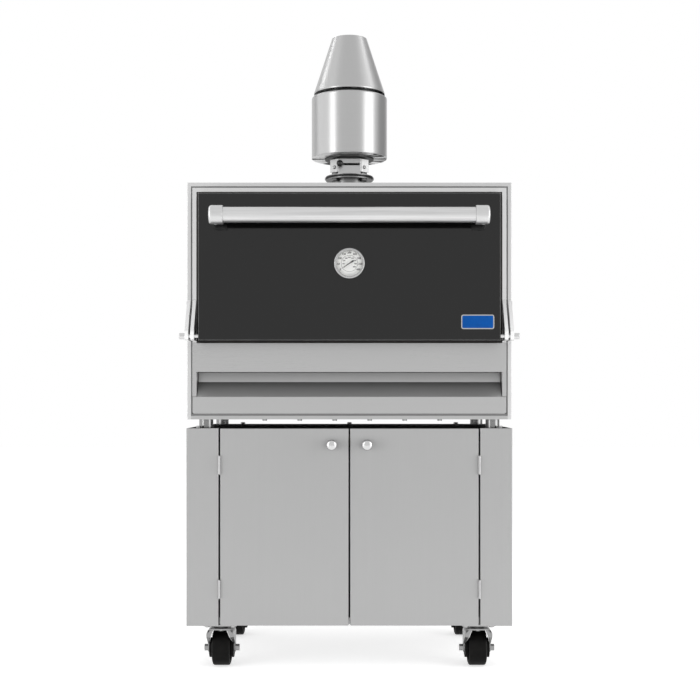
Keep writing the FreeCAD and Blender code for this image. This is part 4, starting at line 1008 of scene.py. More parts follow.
def coat(finish: Finish, *nodes: str) -> None:
    """Gives nodes of the frame a finish.

    Args:
        finish: The finish of the whole node.
        nodes: Names of the frame's nodes.
    """
    for node in nodes:
        slots = FRAME["nodes"][node].data.materials
        slots.clear()
        slots.append(finish.material())


def put(name: str, body: str, finish: Finish, patches: Sequence[Patch],
        stands_for: Sequence[str] = ()) -> None:
    """Makes one piece from closed patches and lets it ride on a body.

    Args:
        name: Name of the piece.
        body: Body of the frame that carries it.
        finish: Finish of the piece.
        patches: Surfaces of the piece, in place.
        stands_for: Nodes of the frame that the piece is shown in place of.
    """
    starts = np.cumsum([0] + [patch.points.shape[0] * patch.points.shape[1] for patch in patches])
    points = np.concatenate([patch.points.reshape(-1, 3) for patch in patches])
    quads = np.concatenate([patch.quads() + first for patch, first in zip(patches, starts)])
    mesh = bpy.data.meshes.new(name)
    mesh.from_pydata(points, [], quads.tolist())
    settle(mesh, body, finish, stands_for)


def settle(mesh: bpy.types.Mesh, body: str, finish: Finish, stands_for: Sequence[str] = ()) -> None:
    """Closes seams and poles of a mesh, shades it and adds it to the scene on its body.

    Args:
        mesh: Mesh with the piece's name.
        body: Body of the frame that carries the piece.
        finish: Finish of the piece.
        stands_for: Nodes of the frame that the piece is shown in place of.
    """
    work = bmesh.new()
    work.from_mesh(mesh)
    bmesh.ops.remove_doubles(work, verts=work.verts, dist=MERGE_DISTANCE)
    bmesh.ops.recalc_face_normals(work, faces=work.faces)
    work.to_mesh(mesh)
    work.free()
    mesh.shade_smooth()
    mesh.set_sharp_from_angle(angle=CREASE_ANGLE)
    mesh.materials.append(finish.material())
    item = bpy.data.objects.new(mesh.name, mesh)
    bpy.context.scene.collection.objects.link(item)
    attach(item, body)
    if stands_for:
        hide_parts(*stands_for)
    LOG.info("%s: %d faces on %s", mesh.name, len(mesh.polygons), body)


def span(node: str) -> Vector:
    """Size of a node's box."""
    low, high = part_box(node)
    return high - low


def middle(node: str) -> Vector:
    """Middle of a node's box."""
    low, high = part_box(node)
    return (low + high) / 2


def front_face(node: str) -> Vector:
    """Middle of the front of a node's box."""
    centre = middle(node)
    return Vector((centre.x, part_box(node)[0].y, centre.z))


@dataclass(frozen=True)
class HexBolt:
    """Bolt of which the hexagon head shows."""

    width: float
    height: float
    chamfer: float

    def heads(self, spots: Iterable[Place], direction: Place) -> list[Patch]:
        """Heads at several spots, all facing one way."""
        head = six_sided(self.width, self.height, self.chamfer)
        return stamped(head, [aimed(spot, direction) for spot in spots])


@dataclass(frozen=True)
class EdgeScrews:
    """Screws round the edge of an upright sheet, with their heads to the rear."""

    diameter: float
    height: float
    inset: float
    across: int
    upward: int

    def heads(self, sheet: str, back: float) -> list[Patch]:
        """Sets the heads along the four edges of a sheet.

        Args:
            sheet: Node of the frame whose box gives the edges.
            back: Depth of the face that the heads stand on.

        Returns:
            One patch a screw.
        """
        low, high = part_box(sheet)
        across = np.linspace(low.x + self.inset, high.x - self.inset, self.across)
        upward = np.linspace(low.z + self.inset, high.z - self.inset, self.upward)
        spots = [(x, back, z) for x in across for z in upward[[0, -1]]]
        spots += [(x, back, z) for x in across[[0, -1]] for z in upward[1:-1]]
        return stamped(pan_head(self.diameter, self.height), [aimed(spot, REARWARD) for spot in spots])


class SubAssembly:
    """Part of the oven that is dressed and built on its own."""

    def dress(self) -> None:
        """Gives the frame's own nodes their finishes."""

    def build(self) -> None:
        """Adds the pieces that the frame leaves to the scene."""


@dataclass
class OvenBody(SubAssembly):
    """Casing, fire chamber, legs and the fasteners that show on them."""

    base_bolt: HexBolt = HexBolt(width=0.0115, height=0.004, chamfer=0.001)
    base_bolts: int = 6
    base_bolt_pitch: float = 0.0985
    base_bolt_shift: float = 0.008
    base_bolt_inset: float = 0.016
    back_screws: EdgeScrews = EdgeScrews(diameter=0.009, height=0.003, inset=0.0075, across=6, upward=5)
    seam_strip: float = 0.0095
    seam_sheet: float = 0.001
    seam_fit: float = 0.0003
    casing_sheet: float = 0.002
    bracket_flanks: Sequence[float] = (-0.011, -0.001, 0.0045, 0.0145)
    bracket_weld_inset: float = 0.004

    def dress(self) -> None:
        """Finishes of the frame's own nodes."""
        coat(CASING_SHEET, "casing_wrap")
        coat(SHEET, "casing_back", "casing_base")
        coat(FRAME_SHEET, "front_frame")
        coat(LEG_STEEL, "body_legs")
        coat(BRACKET_LIT_SHEET, "hinge_brackets")
        coat(PIN_STEEL, "hinge_pins")
        coat(SOOTED, "fire_chamber")
        coat(SCALED, "rack_runners", "drawer_runners", "rack_lower", "rack_upper")
        coat(IRON, "fire_grate")
        coat(WOOL, "insulation_slabs")

    def build(self) -> None:
        """Strips behind the front seams, bolts under the edge, screws behind and bracket welds."""
        self.back_seams()
        self.bolt_base()
        self.screw_back()
        self.weld_brackets()

    def back_seams(self) -> None:
        """Flat strips behind the casing's flange and lip that close the seams round the frame and drawer,
        toned dark as painted shade in the seams.
        """
        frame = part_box("front_frame")[1]
        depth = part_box("casing_wrap")[0].y + self.casing_sheet + self.seam_fit + self.seam_sheet
        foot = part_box("casing_base")[0].z + self.casing_sheet + self.seam_fit
        lip_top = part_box("ash_drawer_front")[0].z - 2 * self.seam_fit
        crown = frame.z + self.seam_fit
        flank = frame.x + self.seam_fit + self.seam_strip / 2
        bars = [(side * flank, (foot + crown) / 2, self.seam_strip, crown - foot) for side in SIDES.values()]
        bars.append((0.0, crown + self.seam_strip / 2, 2 * flank + self.seam_strip, self.seam_strip))
        bars.append((0.0, (foot + lip_top) / 2, 2 * frame.x, lip_top - foot))
        strips = [plate(width, height, self.seam_sheet, self.seam_sheet).moved(facing_front((x, depth, z)))
                  for x, z, width, height in bars]
        put("seam_strips", "oven_body", SEAM_SHADE_SHEET, strips)

    def bolt_base(self) -> None:
        """Row of bolt heads under the front edge, evenly spaced a little to one side of the middle."""
        low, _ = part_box("casing_base")
        steps = np.arange(self.base_bolts) - (self.base_bolts - 1) / 2
        across = steps * self.base_bolt_pitch + self.base_bolt_shift
        spots = [(x, low.y + self.base_bolt_inset, low.z) for x in across]
        put("base_bolts", "oven_body", ZINC, self.base_bolt.heads(spots, DOWNWARD))

    def screw_back(self) -> None:
        """Screws round the edge of the rear sheet."""
        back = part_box("casing_back")[1].y
        put("back_screws", "oven_body", ZINC, self.back_screws.heads("casing_back", back))

    def weld_brackets(self) -> None:
        """Beads down the flanks of each bracket where it stands on the casing."""
        low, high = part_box("hinge_brackets")
        bottom, top = low.z + self.bracket_weld_inset, high.z - self.bracket_weld_inset
        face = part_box("front_frame")[1].x
        flanks = [side * (face + offset) for side in SIDES.values() for offset in self.bracket_flanks]
        beads = [weld_bead((x, high.y, bottom), (x, high.y, top), REARWARD) for x in flanks]
        put("bracket_welds", "oven_body", SHEET, beads)


@dataclass
class OvenDoor(SubAssembly):
    """Black door with its seal, handle and badge."""

    rope_corner: float = 0.017
    rope_half_width: float = 0.007
    rope_ribs: int = 420
    rope_steps_a_rib: int = 4
    rope_strands: int = 3
    rope_swell: float = 0.07
    liner_screws: EdgeScrews = EdgeScrews(diameter=0.007, height=0.0018, inset=0.006, across=8, upward=4)
    badge_rim: float = 0.0028
    badge_corner: float = 0.0035
    badge_lift: float = 0.0005
    grub_radius: float = 0.004
    grub_half: float = 0.001
    grub_seat: float = 0.0004
    grub_socket_mouth: float = 0.0026
    grub_socket_radius: float = 0.0022
    grub_socket_floor: float = 0.0006

    def dress(self) -> None:
        """Finishes of the frame's own nodes."""
        coat(ENAMEL, "door_skin")
        coat(SHEET, "door_liner")
        coat(WOOL, "door_insulation")
        coat(SCALED, "door_hinge_bushes")
        coat(ROPE, "door_gasket")
        coat(HANDLE_STEEL, "handle_tube")
        coat(HANDLE_END, "handle_ends")
        coat(TRIM_STEEL, "badge_plate")

    def build(self) -> None:
        """Rope seal, liner screws, badge field and the handle's grub screws."""
        self.lay_rope()
        self.screw_liner()
        self.face_badge()
        self.screw_handle()

    def lay_rope(self) -> None:
        """Braided rope round the back of the door.

        The section is a flattened circle whose radius at angle a and place s along the rope is scaled
        by 1 - k + k (|sin(na + s)| + |sin(na - s)|) / 2, two sets of n crossing strands.
        """
        size, centre = span("door_gasket"), middle("door_gasket")
        inset = 2 * self.rope_half_width
        outline = rounded_outline(size.x - inset, size.z - inset, self.rope_corner, count=14)
        path = resample(outline, self.rope_ribs * self.rope_steps_a_rib)
        route = np.stack([path[:, 0], path[:, 0] * 0, path[:, 1]], axis=-1) + np.array(centre)
        ring = angles(count=18)
        around = self.rope_strands * ring
        along = np.linspace(0, self.rope_ribs * math.pi, len(path), endpoint=False)[:, None]
        braid = (np.abs(np.sin(around + along)) + np.abs(np.sin(around - along))) / 2
        swell = 1 - self.rope_swell + self.rope_swell * braid
        section = np.stack([self.rope_half_width * np.cos(ring) * swell,
                            size.y / 2 * np.sin(ring) * swell], axis=-1)
        put("rope_seal", "oven_door", ROPE, [swept(section, route, REARWARD, closed=True)], ["door_gasket"])

    def screw_liner(self) -> None:
        """Small screws round the edge of the liner."""
        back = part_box("door_skin")[1].y
        put("liner_screws", "oven_door", ZINC, self.liner_screws.heads("door_liner", back))

    def face_badge(self) -> None:
        """Bare enamel field inside the badge's bright rim."""
        size, lift = span("badge_plate"), self.badge_lift
        field = pressed(size.x - 2 * self.badge_rim, size.z - 2 * self.badge_rim, self.badge_corner,
                        [(0, 0), (0, lift / 2), (lift, lift)])
        put("badge_field", "oven_door", BADGE_BLUE, [field.moved(facing_front(front_face("badge_plate")))])

    def screw_handle(self) -> None:
        """Grub screws under the caps that hold the tube: a short rod with a dished socket, turned."""
        low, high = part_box("handle_ends")
        screw = turned([(0, self.grub_socket_floor), (self.grub_socket_radius, self.grub_socket_floor),
                        (self.grub_socket_mouth, self.grub_half), (self.grub_radius, self.grub_half),
                        (self.grub_radius, -self.grub_half), (0, -self.grub_half)], count=20)
        reach = (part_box("handle_tube")[1].x + high.x) / 2
        depth, level = middle("handle_tube").y, low.z + self.grub_seat
        places = [aimed((side * reach, depth, level), DOWNWARD) for side in SIDES.values()]
        put("handle_grub_screws", "oven_door", ZINC, stamped(screw, places))


@dataclass(frozen=True)
class TickRow:
    """Row of ticks that hang inwards from a ring of the dial."""

    count: int
    ring: float
    length: float
    width: float


@dataclass(frozen=True)
class NumberCircle:
    """Circle of plain numbers on the dial."""

    numbers: range
    radius: float
    height: float


@dataclass
class Thermometer(SubAssembly):
    """Dial with printed rings, ticks and plain numbers."""

    start_angle: float = math.radians(214)
    sweep: float = math.radians(248)
    outer_ring: float = 0.0355
    outer_line: float = 0.0004
    inner_ring: float = 0.0225
    inner_line: float = 0.0007
    tick_rows: Sequence[TickRow] = (
        TickRow(count=41, ring=outer_ring, length=0.0014, width=0.0004),
        TickRow(count=9, ring=outer_ring, length=0.002, width=0.0009),
        TickRow(count=41, ring=inner_ring, length=0.0016, width=0.0003),
    )
    tick_corner_share: float = 0.1
    circles: Sequence[NumberCircle] = (
        NumberCircle(range(0, 401, 50), radius=0.0298, height=0.0072),
        NumberCircle(range(0, 801, 100), radius=0.0166, height=0.005),
    )
    bold: float = 0.03
    digit_steps: int = 3
    print_lift: float = 0.0001
    cap_radius: float = 0.0046
    cap_height: float = 0.0003
    needle_slope: float = math.radians(34)
    needle_width: float = 0.0026
    needle_corner: float = 0.0003

    @property
    def place(self) -> np.ndarray:
        """Matrix that lays print on the dial."""
        return facing_front(front_face("thermometer_dial"))

    def dress(self) -> None:
        """Finishes of the frame's own nodes."""
        coat(TRIM_STEEL, "thermometer_case")
        coat(POLISHED, "thermometer_stem")
        coat(DIAL_WHITE, "thermometer_dial")
        coat(GLASS, "thermometer_lens")
        coat(PRINT_BLACK, "thermometer_needle")

    def build(self) -> None:
        """Rings, ticks and numbers on the dial, and a cap on the needle's hub."""
        self.print_rings()
        self.print_numbers()
        self.cap_hub()

    def print_rings(self) -> None:
        """Two thin rings and three rows of ticks."""
        rings = ((self.outer_ring, self.outer_line), (self.inner_ring, self.inner_line))
        marks = [hoop(radius - width / 2, radius + width / 2, 0, self.print_lift) for radius, width in rings]
        marks += [tick for row in self.tick_rows for tick in self.ticks(row)]
        place = self.place
        put("dial_marks", "oven_door", PRINT_BLACK, [mark.moved(place) for mark in marks])

    def ticks(self, row: TickRow) -> list[Patch]:
        """Short bars along the sweep, each a flat plate turned to its angle."""
        bar = plate(row.length, row.width, row.width * self.tick_corner_share, self.print_lift)
        return stamped(bar, [spun(turn, row.ring - row.length / 2) for turn in self.turns(row.count)])

    def turns(self, count: int) -> np.ndarray:
        """Even angles along the sweep of the scale."""
        return self.start_angle - self.sweep * np.linspace(0, 1, count)

    def print_numbers(self) -> None:
        """Plain numbers in two circles, upright on the dial."""
        points, faces, first = [], [], 0
        for circle in self.circles:
            for number, turn in zip(circle.numbers, self.turns(len(circle.numbers))):
                corners, sides = self.lettered(str(number), circle.height)
                points.append(corners + circle.radius * np.array([math.cos(turn), math.sin(turn), 0.0]))
                faces += [(side + first).tolist() for side in sides]
                first += len(corners)
        place = self.place
        placed = np.concatenate(points) @ place[:3, :3].T + place[:3, 3]
        mesh = bpy.data.meshes.new("dial_numbers")
        mesh.from_pydata(placed, [], faces)
        settle(mesh, "oven_door", PRINT_BLACK)

    def lettered(self, text: str, height: float) -> tuple[np.ndarray, list[np.ndarray]]:
        """Mesh of a number, centred on its own origin.

        Args:
            text: Digits to set.
            height: Size of the type.

        Returns:
            Corner points and the corner numbers of each face.
        """
        curve = bpy.data.curves.new("digits", "FONT")
        curve.body = text
        curve.size = height
        curve.offset = height * self.bold
        curve.extrude = self.print_lift / 2
        curve.resolution_u = self.digit_steps
        curve.align_x = "CENTER"
        curve.align_y = "CENTER"
        holder = bpy.data.objects.new("digits", curve)
        bpy.context.scene.collection.objects.link(holder)
        mesh = bpy.data.meshes.new_from_object(holder.evaluated_get(bpy.context.evaluated_depsgraph_get()))
        corners = np.empty(len(mesh.vertices) * 3)
        mesh.vertices.foreach_get("co", corners)
        sides = [np.array(face.vertices) for face in mesh.polygons]
        bpy.data.objects.remove(holder)
        bpy.data.curves.remove(curve)
        bpy.data.meshes.remove(mesh)
        return corners.reshape(-1, 3) + np.array([0, 0, self.print_lift / 2]), sides

    def cap_hub(self) -> None:
        """Pale cap over the needle's hub, crossed by a dark line that carries the needle on."""
        across, _, upward = self.place[:3, 3]
        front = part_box("thermometer_needle")[0].y
        radius, height = self.cap_radius, self.cap_height
        cap = turned([(0, 0), (radius, 0), (radius, height), (0, height)], count=32)
        put("needle_cap", "dial_needle", DIAL_WHITE, [cap.moved(facing_front((across, front, upward)))])
        line = plate(2 * radius, self.needle_width, self.needle_corner, height)
        place = facing_front((across, front - height, upward)) @ spun(self.needle_slope)
        put("needle_line", "dial_needle", PRINT_BLACK, [line.moved(place)])


@dataclass
class AshDrawer(SubAssembly):
    """Drawer under the door."""

    def dress(self) -> None:
        """Finishes of the frame's own nodes."""
        coat(DRAWER_SHEET, "ash_drawer_front")
        coat(SHEET, "ash_drawer_tray")


@dataclass
class Flue(SubAssembly):
    """Pipe, damper and spark arrestor on the roof."""

    ear_bolt_diameter: float = 0.0115
    ear_bolt_height: float = 0.0045
    ear_bolt_reach: float = 0.0448
    ear_bolt_lead: float = 0.0478
    ear_bolt_drop: float = 0.0335
    ear_facing: tuple[float, float] = (0.640, -0.768)
    collar_screws: int = 6
    collar_screw_diameter: float = 0.009
    collar_screw_height: float = 0.003
    collar_radius: float = 0.0658
    collar_sheet: float = 0.003
    neck_radius: float = 0.099
    neck_height: float = 0.01
    neck_band: float = 0.0004
    seal_height: float = 0.0042
    seal_proud: float = 0.0005
    seam_radius: float = 0.0011
    can_seam_insets: tuple[float, float] = (0.003, 0.006)
    cone_seam_insets: tuple[float, float] = (0.0145, 0.002)
    cone_tip_radius: float = 0.0535

    @property
    def axis(self) -> Vector:
        """Middle of the can, on the axis of the whole flue."""
        return middle("spark_arrestor_can")

    def dress(self) -> None:
        """Finishes of the frame's own nodes."""
        coat(DARK_POLISHED, "flue_pipe")
        coat(DARK_ZINC, "flange_bolts")
        coat(DAMPER_SHEET, "damper_housing")
        coat(SHEET, "damper_shutter")
        coat(BALL_BLACK, "damper_knob")
        coat(TURNED_SHEET, "spark_arrestor_can", "arrestor_cone")

    def build(self) -> None:
        """Bolts on the damper plate, screws in the collar, a black ring of painted shade on the neck, flange
        seal and seams behind.
        """
        self.bolt_ears()
        self.screw_collar()
        self.band_neck()
        self.seal_flanges()
        self.weld_seams()

    def bolt_ears(self) -> None:
        """Round bolt heads on the ears of the damper plate, square to each ear."""
        depth = self.axis.y - self.ear_bolt_lead
        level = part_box("damper_housing")[1].z - self.ear_bolt_drop
        aside, ahead = self.ear_facing
        places = [aimed((side * self.ear_bolt_reach, depth, level), (side * aside, ahead, 0))
                  for side in SIDES.values()]
        head = domed(self.ear_bolt_diameter, self.ear_bolt_height)
        put("damper_ear_bolts", "oven_body", ZINC, stamped(head, places))

    def screw_collar(self) -> None:
        """Screws round the collar on the roof."""
        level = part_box("casing_wrap")[1].z + self.collar_sheet
        turn = angles(self.collar_screws) + math.pi / self.collar_screws
        across, deep = self.collar_radius * np.cos(turn), self.axis.y + self.collar_radius * np.sin(turn)
        head = pan_head(self.collar_screw_diameter, self.collar_screw_height)
        places = [aimed((x, y, level), UPWARD) for x, y in zip(across, deep)]
        put("collar_screws", "oven_body", ZINC, stamped(head, places))

    def band_neck(self) -> None:
        """Black ring round the neck under the cone: painted shade in the groove between can and cone."""
        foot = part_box("arrestor_cone")[0].z
        self.ring("neck_band", self.neck_radius, self.neck_band,
                  foot + self.neck_band, foot + self.neck_height - self.neck_band)

    def seal_flanges(self) -> None:
        """Seal pressed out of the joint between the flanges."""
        joint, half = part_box("damper_housing")[0].z, self.seal_height / 2
        self.ring("flange_seal", span("damper_housing").x / 2, self.seal_proud, joint - half, joint + half)

    def ring(self, name: str, radius: float, half: float, bottom: float, top: float) -> None:
        """Adds a thin black ring round the flue's axis.

        Args:
            name: Name of the piece.
            radius: Middle radius.
            half: Half of the thickness.
            bottom: Level of the lower face.
            top: Level of the upper face.
        """
        centre = np.array([self.axis.x, self.axis.y, 0.0])
        loop = hoop(radius - half, radius + half, bottom, top)
        put(name, "oven_body", BLACK_SEAL_AND_SHADE, [Patch(loop.points + centre, loop.wrap_rows)])

    def weld_seams(self) -> None:
        """Straight beads up the back of the can and of the cone."""
        can, cone = span("spark_arrestor_can").x / 2, span("arrestor_cone").x / 2
        seams = (("spark_arrestor_can", can, can, self.can_seam_insets),
                 ("arrestor_cone", cone, self.cone_tip_radius, self.cone_seam_insets))
        beads = []
        for node, foot, tip, (below, above) in seams:
            low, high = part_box(node)
            start, end = (0, self.axis.y + foot, low.z + below), (0, self.axis.y + tip, high.z - above)
            beads.append(weld_bead(start, end, ASIDE, self.seam_radius))
        put("arrestor_seams", "oven_body", TURNED_SHEET, beads)


@dataclass
class Cabinet(SubAssembly):
    """Storage cabinet under the oven."""

    deck_bolt: HexBolt = HexBolt(width=0.013, height=0.006, chamfer=0.0012)
    deck_rear_reach: float = 0.345
    deck_rear_inset: float = 0.03
    deck_front_reach: float = 0.427
    deck_front_inset: float = 0.02
    rivet_diameter: float = 0.008
    rivet_height: float = 0.002
    rivets_up: int = 5
    rivet_end_inset: float = 0.03
    rivet_side_inset: float = 0.014
    knob_radius: float = 0.0151
    knob_rim: float = 0.0022
    knob_foot_share: float = 1 / 3
    knob_dome: float = 0.0085
    hinge_length: float = 0.051
    hinge_tip_diameter: float = 0.0074
    hinge_tip_height: float = 0.0016

    def dress(self) -> None:
        """Finishes of the frame's own nodes."""
        coat(CABINET_SHEET, "cabinet_left_side", "cabinet_right_side", "cabinet_back",
             "cabinet_door_left", "cabinet_door_right")
        coat(SHEET, "cabinet_floor", "cabinet_hinge_frames", "cabinet_hinge_leaves_left",
             "cabinet_hinge_leaves_right")
        # Deck painted black as painted shade under the oven
        coat(DECK_SHADE_BLACK, "cabinet_top")
        coat(SCALED, "door_catch")
        coat(POLISHED, "cabinet_knob_left", "cabinet_knob_right")
        coat(ZINC, "caster_plates")

    def build(self) -> None:
        """Bolts on the deck, rivets behind, rounded ends on the hinge pins and domes on the knobs."""
        self.bolt_deck()
        self.rivet_back()
        self.tip_hinges()
        self.dome_knobs()

    def bolt_deck(self) -> None:
        """Hexagon heads along the rear edge of the deck and on the tops of the sides."""
        low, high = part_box("cabinet_top")
        rear, front = high.y - self.deck_rear_inset, low.y + self.deck_front_inset
        spots = [(step * self.deck_rear_reach, rear, high.z) for step in (-1, 0, 1)]
        spots += [(side * self.deck_front_reach, front, high.z) for side in SIDES.values()]
        put("deck_bolts", "oven_body", ZINC, self.deck_bolt.heads(spots, UPWARD))

    def rivet_back(self) -> None:
        """Rivets up both rear flanges."""
        low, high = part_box("cabinet_right_side")
        reach, inset = high.x - self.rivet_side_inset, self.rivet_end_inset
        upward = np.linspace(low.z + inset, high.z - inset, self.rivets_up)
        places = [aimed((side * reach, high.y, z), REARWARD) for side in SIDES.values() for z in upward]
        put("back_rivets", "oven_body", ZINC, stamped(domed(self.rivet_diameter, self.rivet_height), places))

    def tip_hinges(self) -> None:
        """Small domes on both ends of every hinge pin."""
        low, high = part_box("cabinet_hinge_frames")
        pins = [joint["pos_m"][:2] for joint in FRAME["joints"] if "cabinet_door_hinge" in joint["name"]]
        places = []
        for x, y in pins:
            for bottom in (low.z, high.z - self.hinge_length):
                places.append(aimed((x, y, bottom), DOWNWARD))
                places.append(aimed((x, y, bottom + self.hinge_length), UPWARD))
        tip = domed(self.hinge_tip_diameter, self.hinge_tip_height)
        put("hinge_pin_tips", "oven_body", SHEET, stamped(tip, places))

    def dome_knobs(self) -> None:
        """Domed face on each knob: a short rim with a rounded foot, under a dome."""
        inset = self.knob_rim * self.knob_foot_share
        face = turned([(0, 0), (self.knob_radius - inset, 0), (self.knob_radius, inset),
                       *dome_rows(self.knob_radius, self.knob_dome, self.knob_rim, count=10)], count=40)
        for side in SIDES:
            place = facing_front(front_face(f"cabinet_knob_{side}"))
            put(f"knob_dome_{side}", f"{side}_cabinet_door", KNOB_STEEL, [face.moved(place)])


@dataclass
class Caster(SubAssembly):
    """One swivel caster.

    The web's line holds depth and height of points on the front edge of a fork's leg, from the
    kingpin. The web's edge holds distance from the middle and height of points on its inner edge.
    """

    end: str
    side: str
    plate_bolt: HexBolt = HexBolt(width=0.013, height=0.004, chamfer=0.001)
    plate_sheet: float = 0.004
    bolt_across: float = 0.072
    bolt_deep: float = 0.058
    leg_reach: float = 0.0349
    web_half: float = 0.001
    web_line: Outline = ((-0.028, 0.1085), (-0.028, 0.0894), (0.016, 0.0624), (0.016, 0.05))
    web_edge: Outline = ((0.034, 0.05), (0.0335, 0.058), (0.032, 0.07), (0.029, 0.083), (0.0245, 0.095),
                         (0.019, 0.1085))
    web_rows: int = 40
    edge_radius: float = 0.0013
    guard_radii: tuple[float, float] = (0.0195, 0.028)
    guard_ends: tuple[float, float] = (0.0262, 0.0348)
    wheel_half: float = 0.025
    wheel_ring_radii: tuple[float, float] = (0.0402, 0.0428)
    wheel_ring_section: float = 0.0008

    @property
    def label(self) -> str:
        """Ending of the names of this caster's nodes and bodies."""
        return f"{self.end}_{self.side}"

    @property
    def kingpin(self) -> Place:
        """Place of the swivel's axis."""
        return next(joint["pos_m"] for joint in FRAME["joints"] if joint["name"] == f"swivel_{self.label}")

    @property
    def hub(self) -> Vector:
        """Middle of the wheel."""
        return middle(f"caster_wheel_{self.label}")

    def dress(self) -> None:
        """Finishes of the frame's own nodes."""
        coat(FORK_ZINC, f"caster_fork_{self.label}")
        coat(RUBBER, f"caster_wheel_{self.label}")

    def build(self) -> None:
        """Plate bolts, webs inside the fork, guards and raised rings round the sides of the wheel."""
        self.bolt_plate()
        self.web_fork()
        self.guard_wheel()
        self.ring_wheel()

    def bolt_plate(self) -> None:
        """Hexagon heads under the corners of the plate."""
        across, deep = self.bolt_across / 2, self.bolt_deep / 2
        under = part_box("caster_plates")[1].z - self.plate_sheet
        spots = [(self.kingpin[0] + x * across, self.kingpin[1] + y * deep, under) for x, y in CORNERS]
        put(f"caster_bolts_{self.label}", "oven_body", ZINC, self.plate_bolt.heads(spots, DOWNWARD))

    def web_fork(self) -> None:
        """Flanges turned in along the front edges of the fork's legs, widest under the crown.

        At height z a flange runs from the leg to the distance e(z) from the middle, and lies on
        the line y(z) of the leg's front edge. Both are straight between the given points.
        """
        line, edge = np.array(self.web_line), np.array(self.web_edge)
        level = np.linspace(line[0, 1], line[-1, 1], self.web_rows)
        deep = self.kingpin[1] + np.interp(level, line[::-1, 1], line[::-1, 0])
        inner = np.interp(level, edge[:, 1], edge[:, 0])
        outer = np.full_like(inner, self.leg_reach)
        half = self.web_half
        corners = ((outer, -half), (outer, half), (inner, half), (inner, -half))
        webs, beads = [], []
        for side in SIDES.values():
            strip = np.stack([np.stack([self.kingpin[0] + side * reach, deep + shift, level], axis=-1)
                              for reach, shift in corners], axis=1)
            ends = strip[[0, -1]].mean(axis=1, keepdims=True) + np.zeros((1, len(corners), 1))
            webs.append(Patch(np.concatenate([ends[:1], strip, ends[1:]])))
            lip = np.stack([self.kingpin[0] + side * inner, deep, level], axis=-1)
            beads.append(swept(round_section(self.edge_radius, count=8), lip, ASIDE, closed=False))
        put(f"fork_webs_{self.label}", f"swivel_{self.label}", FORK_ZINC, webs)
        put(f"fork_edges_{self.label}", f"swivel_{self.label}", POLISHED, beads)

    def guard_wheel(self) -> None:
        """Round guards between the wheel and the fork's legs: rings about the axle."""
        loop = hoop(*self.guard_radii, *self.guard_ends, count=48)
        places = [aimed(self.hub, (side, 0, 0)) for side in SIDES.values()]
        put(f"wheel_guards_{self.label}", f"swivel_{self.label}", RUBBER, stamped(loop, places))

    def ring_wheel(self) -> None:
        """Moulded rings on both side faces: circles swept with a small round section."""
        ring = angles(count=48)
        circle = np.stack([ring * 0, np.cos(ring), np.sin(ring)], axis=-1)
        section = round_section(self.wheel_ring_section, count=8)
        faces = [np.array(self.hub) + [side * self.wheel_half, 0, 0] for side in SIDES.values()]
        rings = [swept(section, face + radius * circle, ASIDE, closed=True)
                 for face in faces for radius in self.wheel_ring_radii]
        put(f"wheel_rings_{self.label}", f"wheel_{self.label}", RUBBER, rings)


# Stage


def stage_sheet(name: str, corners: Sequence[Place], material: bpy.types.Material) -> bpy.types.Object:
    """Adds a flat sheet with four corners to the stage.

    Args:
        name: Name of the sheet.
        corners: Places of the corners, in order.
        material: Its material.

    Returns:
        The new object.
    """
    mesh = bpy.data.meshes.new(name)
    mesh.from_pydata(corners, [], [(0, 1, 2, 3)])
    mesh.materials.append(material)
    sheet = bpy.data.objects.new(name, mesh)
    bpy.context.scene.collection.objects.link(sheet)
    return sheet


@dataclass(frozen=True)
class SoftBox:
    """Rectangular lamp that faces the oven, and that gloss, plain surfaces or both can see."""

    name: str
    place: tuple[float, float, float]
    size: tuple[float, float]
    power: float
    seen: bool = True
    lights: bool = True
    aim: tuple[float, float, float] = (0.0, 0.0, 1.0)

    def hang(self) -> None:
        """Adds the lamp to the scene."""
        light = bpy.data.lights.new(self.name, "AREA")
        light.shape = "RECTANGLE"
        light.size, light.size_y = self.size
        light.energy = self.power
        lamp = bpy.data.objects.new(self.name, light)
        lamp.location = self.place
        lamp.rotation_euler = (Vector(self.aim) - Vector(self.place)).to_track_quat("-Z", "Y").to_euler()
        lamp.visible_camera = False
        lamp.visible_glossy = self.seen
        lamp.visible_diffuse = self.lights
        bpy.context.scene.collection.objects.link(lamp)


@dataclass(frozen=True)
class GreyCard:
    """Upright card beside the set that only gloss sees, so that round steel has darker flanks."""

    name: str
    place: tuple[float, float, float]
    size: tuple[float, float]
    level: float

    def stand(self) -> None:
        """Adds the card, turned to the oven."""
        inward = Vector((-self.place[0], -self.place[1], 0.0)).normalized()
        aside = Vector((-inward.y, inward.x, 0.0)) * self.size[0] / 2
        upward = Vector((0.0, 0.0, self.size[1] / 2))
        corners = [Vector(self.place) + across * aside + up * upward for across, up in CORNERS]
        material = bpy.data.materials.new(self.name)
        Shader(material).finish(Base_Color=BLACK, Roughness=1.0, Specular_IOR_Level=0.0,
                                Emission_Color=WHITE, Emission_Strength=self.level)
        card = stage_sheet(self.name, corners, material)
        card.visible_camera = False
        card.visible_diffuse = False
        card.visible_shadow = False
        card.visible_transmission = False


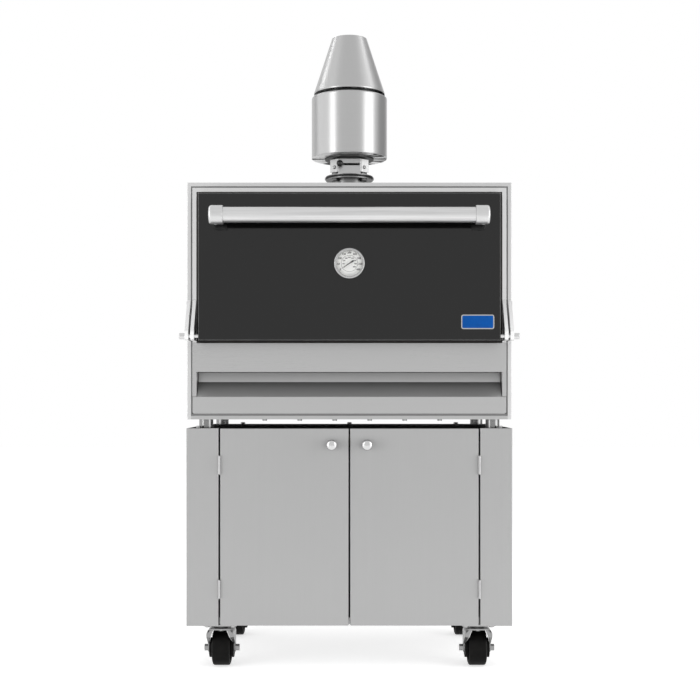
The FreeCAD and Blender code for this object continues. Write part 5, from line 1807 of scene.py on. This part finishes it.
@dataclass
class Studio:
    """Pale floor, white surround, soft lamps and the camera."""

    camera_back: float = 3.7265
    camera_height: float = 0.768
    lens: float = 63.8
    rise: float = 0.067
    aside: float = 0.0009
    floor_size: float = 30.0
    floor_tone: float = 0.82
    floor_roughness: float = 0.9
    floor_glow: float = 0.6
    surround_light: float = 0.55
    surround_seen: float = 1.0
    lamps: Sequence[SoftBox] = (
        SoftBox("lamp_left", (-2.64, -2.08, 1.45), (0.95, 3.0), 27.0),
        SoftBox("lamp_right", (3.0, -1.6, 1.45), (2.0, 3.0), 45.0),
        SoftBox("lamp_top", (0.0, -0.6, 4.2), (3.4, 2.6), 50.0, seen=False),
        SoftBox("wall_left", (-3.2, -0.1, 1.7), (2.7, 2.6), 9.2, lights=False),
        SoftBox("high_right", (2.2, 0.25, 3.8), (0.6, 1.0), 3.0, lights=False),
        SoftBox("high_left", (-2.32, 1.2, 3.37), (0.35, 1.2), 5.3, lights=False),
        SoftBox("sky_right", (2.54, -0.47, 4.05), (2.0, 0.9), 1.7, lights=False),
        SoftBox("sky_left", (-2.6, -0.16, 4.05), (2.2, 0.9), 1.9, lights=False),
    )
    cards: Sequence[GreyCard] = (
        GreyCard("card_right", (2.71, 1.77, 1.9), (3.0, 3.6), 0.5),
        GreyCard("card_left", (-2.68, 1.81, 1.7), (0.16, 3.4), 0.12),
    )

    def build(self) -> None:
        """Makes the whole stage, with a plain view of colours."""
        bpy.context.scene.view_settings.view_transform = "Standard"
        self.surround()
        self.lay_floor()
        for lamp in self.lamps:
            lamp.hang()
        for card in self.cards:
            card.stand()
        self.stand_camera()

    def surround(self) -> None:
        """White where it is seen, a plain grey level where it lights."""
        world = bpy.data.worlds.new("studio")
        bpy.context.scene.world = world
        shader = Shader(world, "Background")
        shader.finish(Color=WHITE, Strength=shader.seen_level(self.surround_light, self.surround_seen))

    def lay_floor(self) -> None:
        """Flat floor that stays white to the eye and keeps the shadow."""
        material = bpy.data.materials.new("floor_pale")
        shader = Shader(material)
        shader.finish(Base_Color=(*grey(self.floor_tone), 1.0), Roughness=self.floor_roughness,
                      Specular_IOR_Level=0.0, Emission_Color=WHITE,
                      Emission_Strength=shader.seen_level(0.0, self.floor_glow))
        half = self.floor_size / 2
        stage_sheet("floor", [(x * half, y * half, 0) for x, y in CORNERS], material)

    def stand_camera(self) -> None:
        """Level camera in front of the oven, shifted up to frame it."""
        lens = bpy.data.cameras.new("camera")
        lens.lens = self.lens
        lens.shift_x = self.aside
        lens.shift_y = self.rise
        camera = bpy.data.objects.new("camera", lens)
        camera.location = (0.0, -self.camera_back, self.camera_height)
        camera.rotation_euler = (math.pi / 2, 0.0, 0.0)
        bpy.context.scene.collection.objects.link(camera)
        bpy.context.scene.camera = camera


def main() -> None:
    """Dresses the frame, builds the added pieces and sets the stage."""
    logging.basicConfig(level=logging.INFO, format="%(name)s %(message)s")
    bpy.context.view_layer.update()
    parts = [OvenBody(), OvenDoor(), Thermometer(), AshDrawer(), Flue(), Cabinet()]
    parts += [Caster(end, side) for end in ENDS for side in SIDES]
    for part in parts:
        part.dress()
        part.build()
    Studio().build()


if __name__ == "__main__":
    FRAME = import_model()
    main()
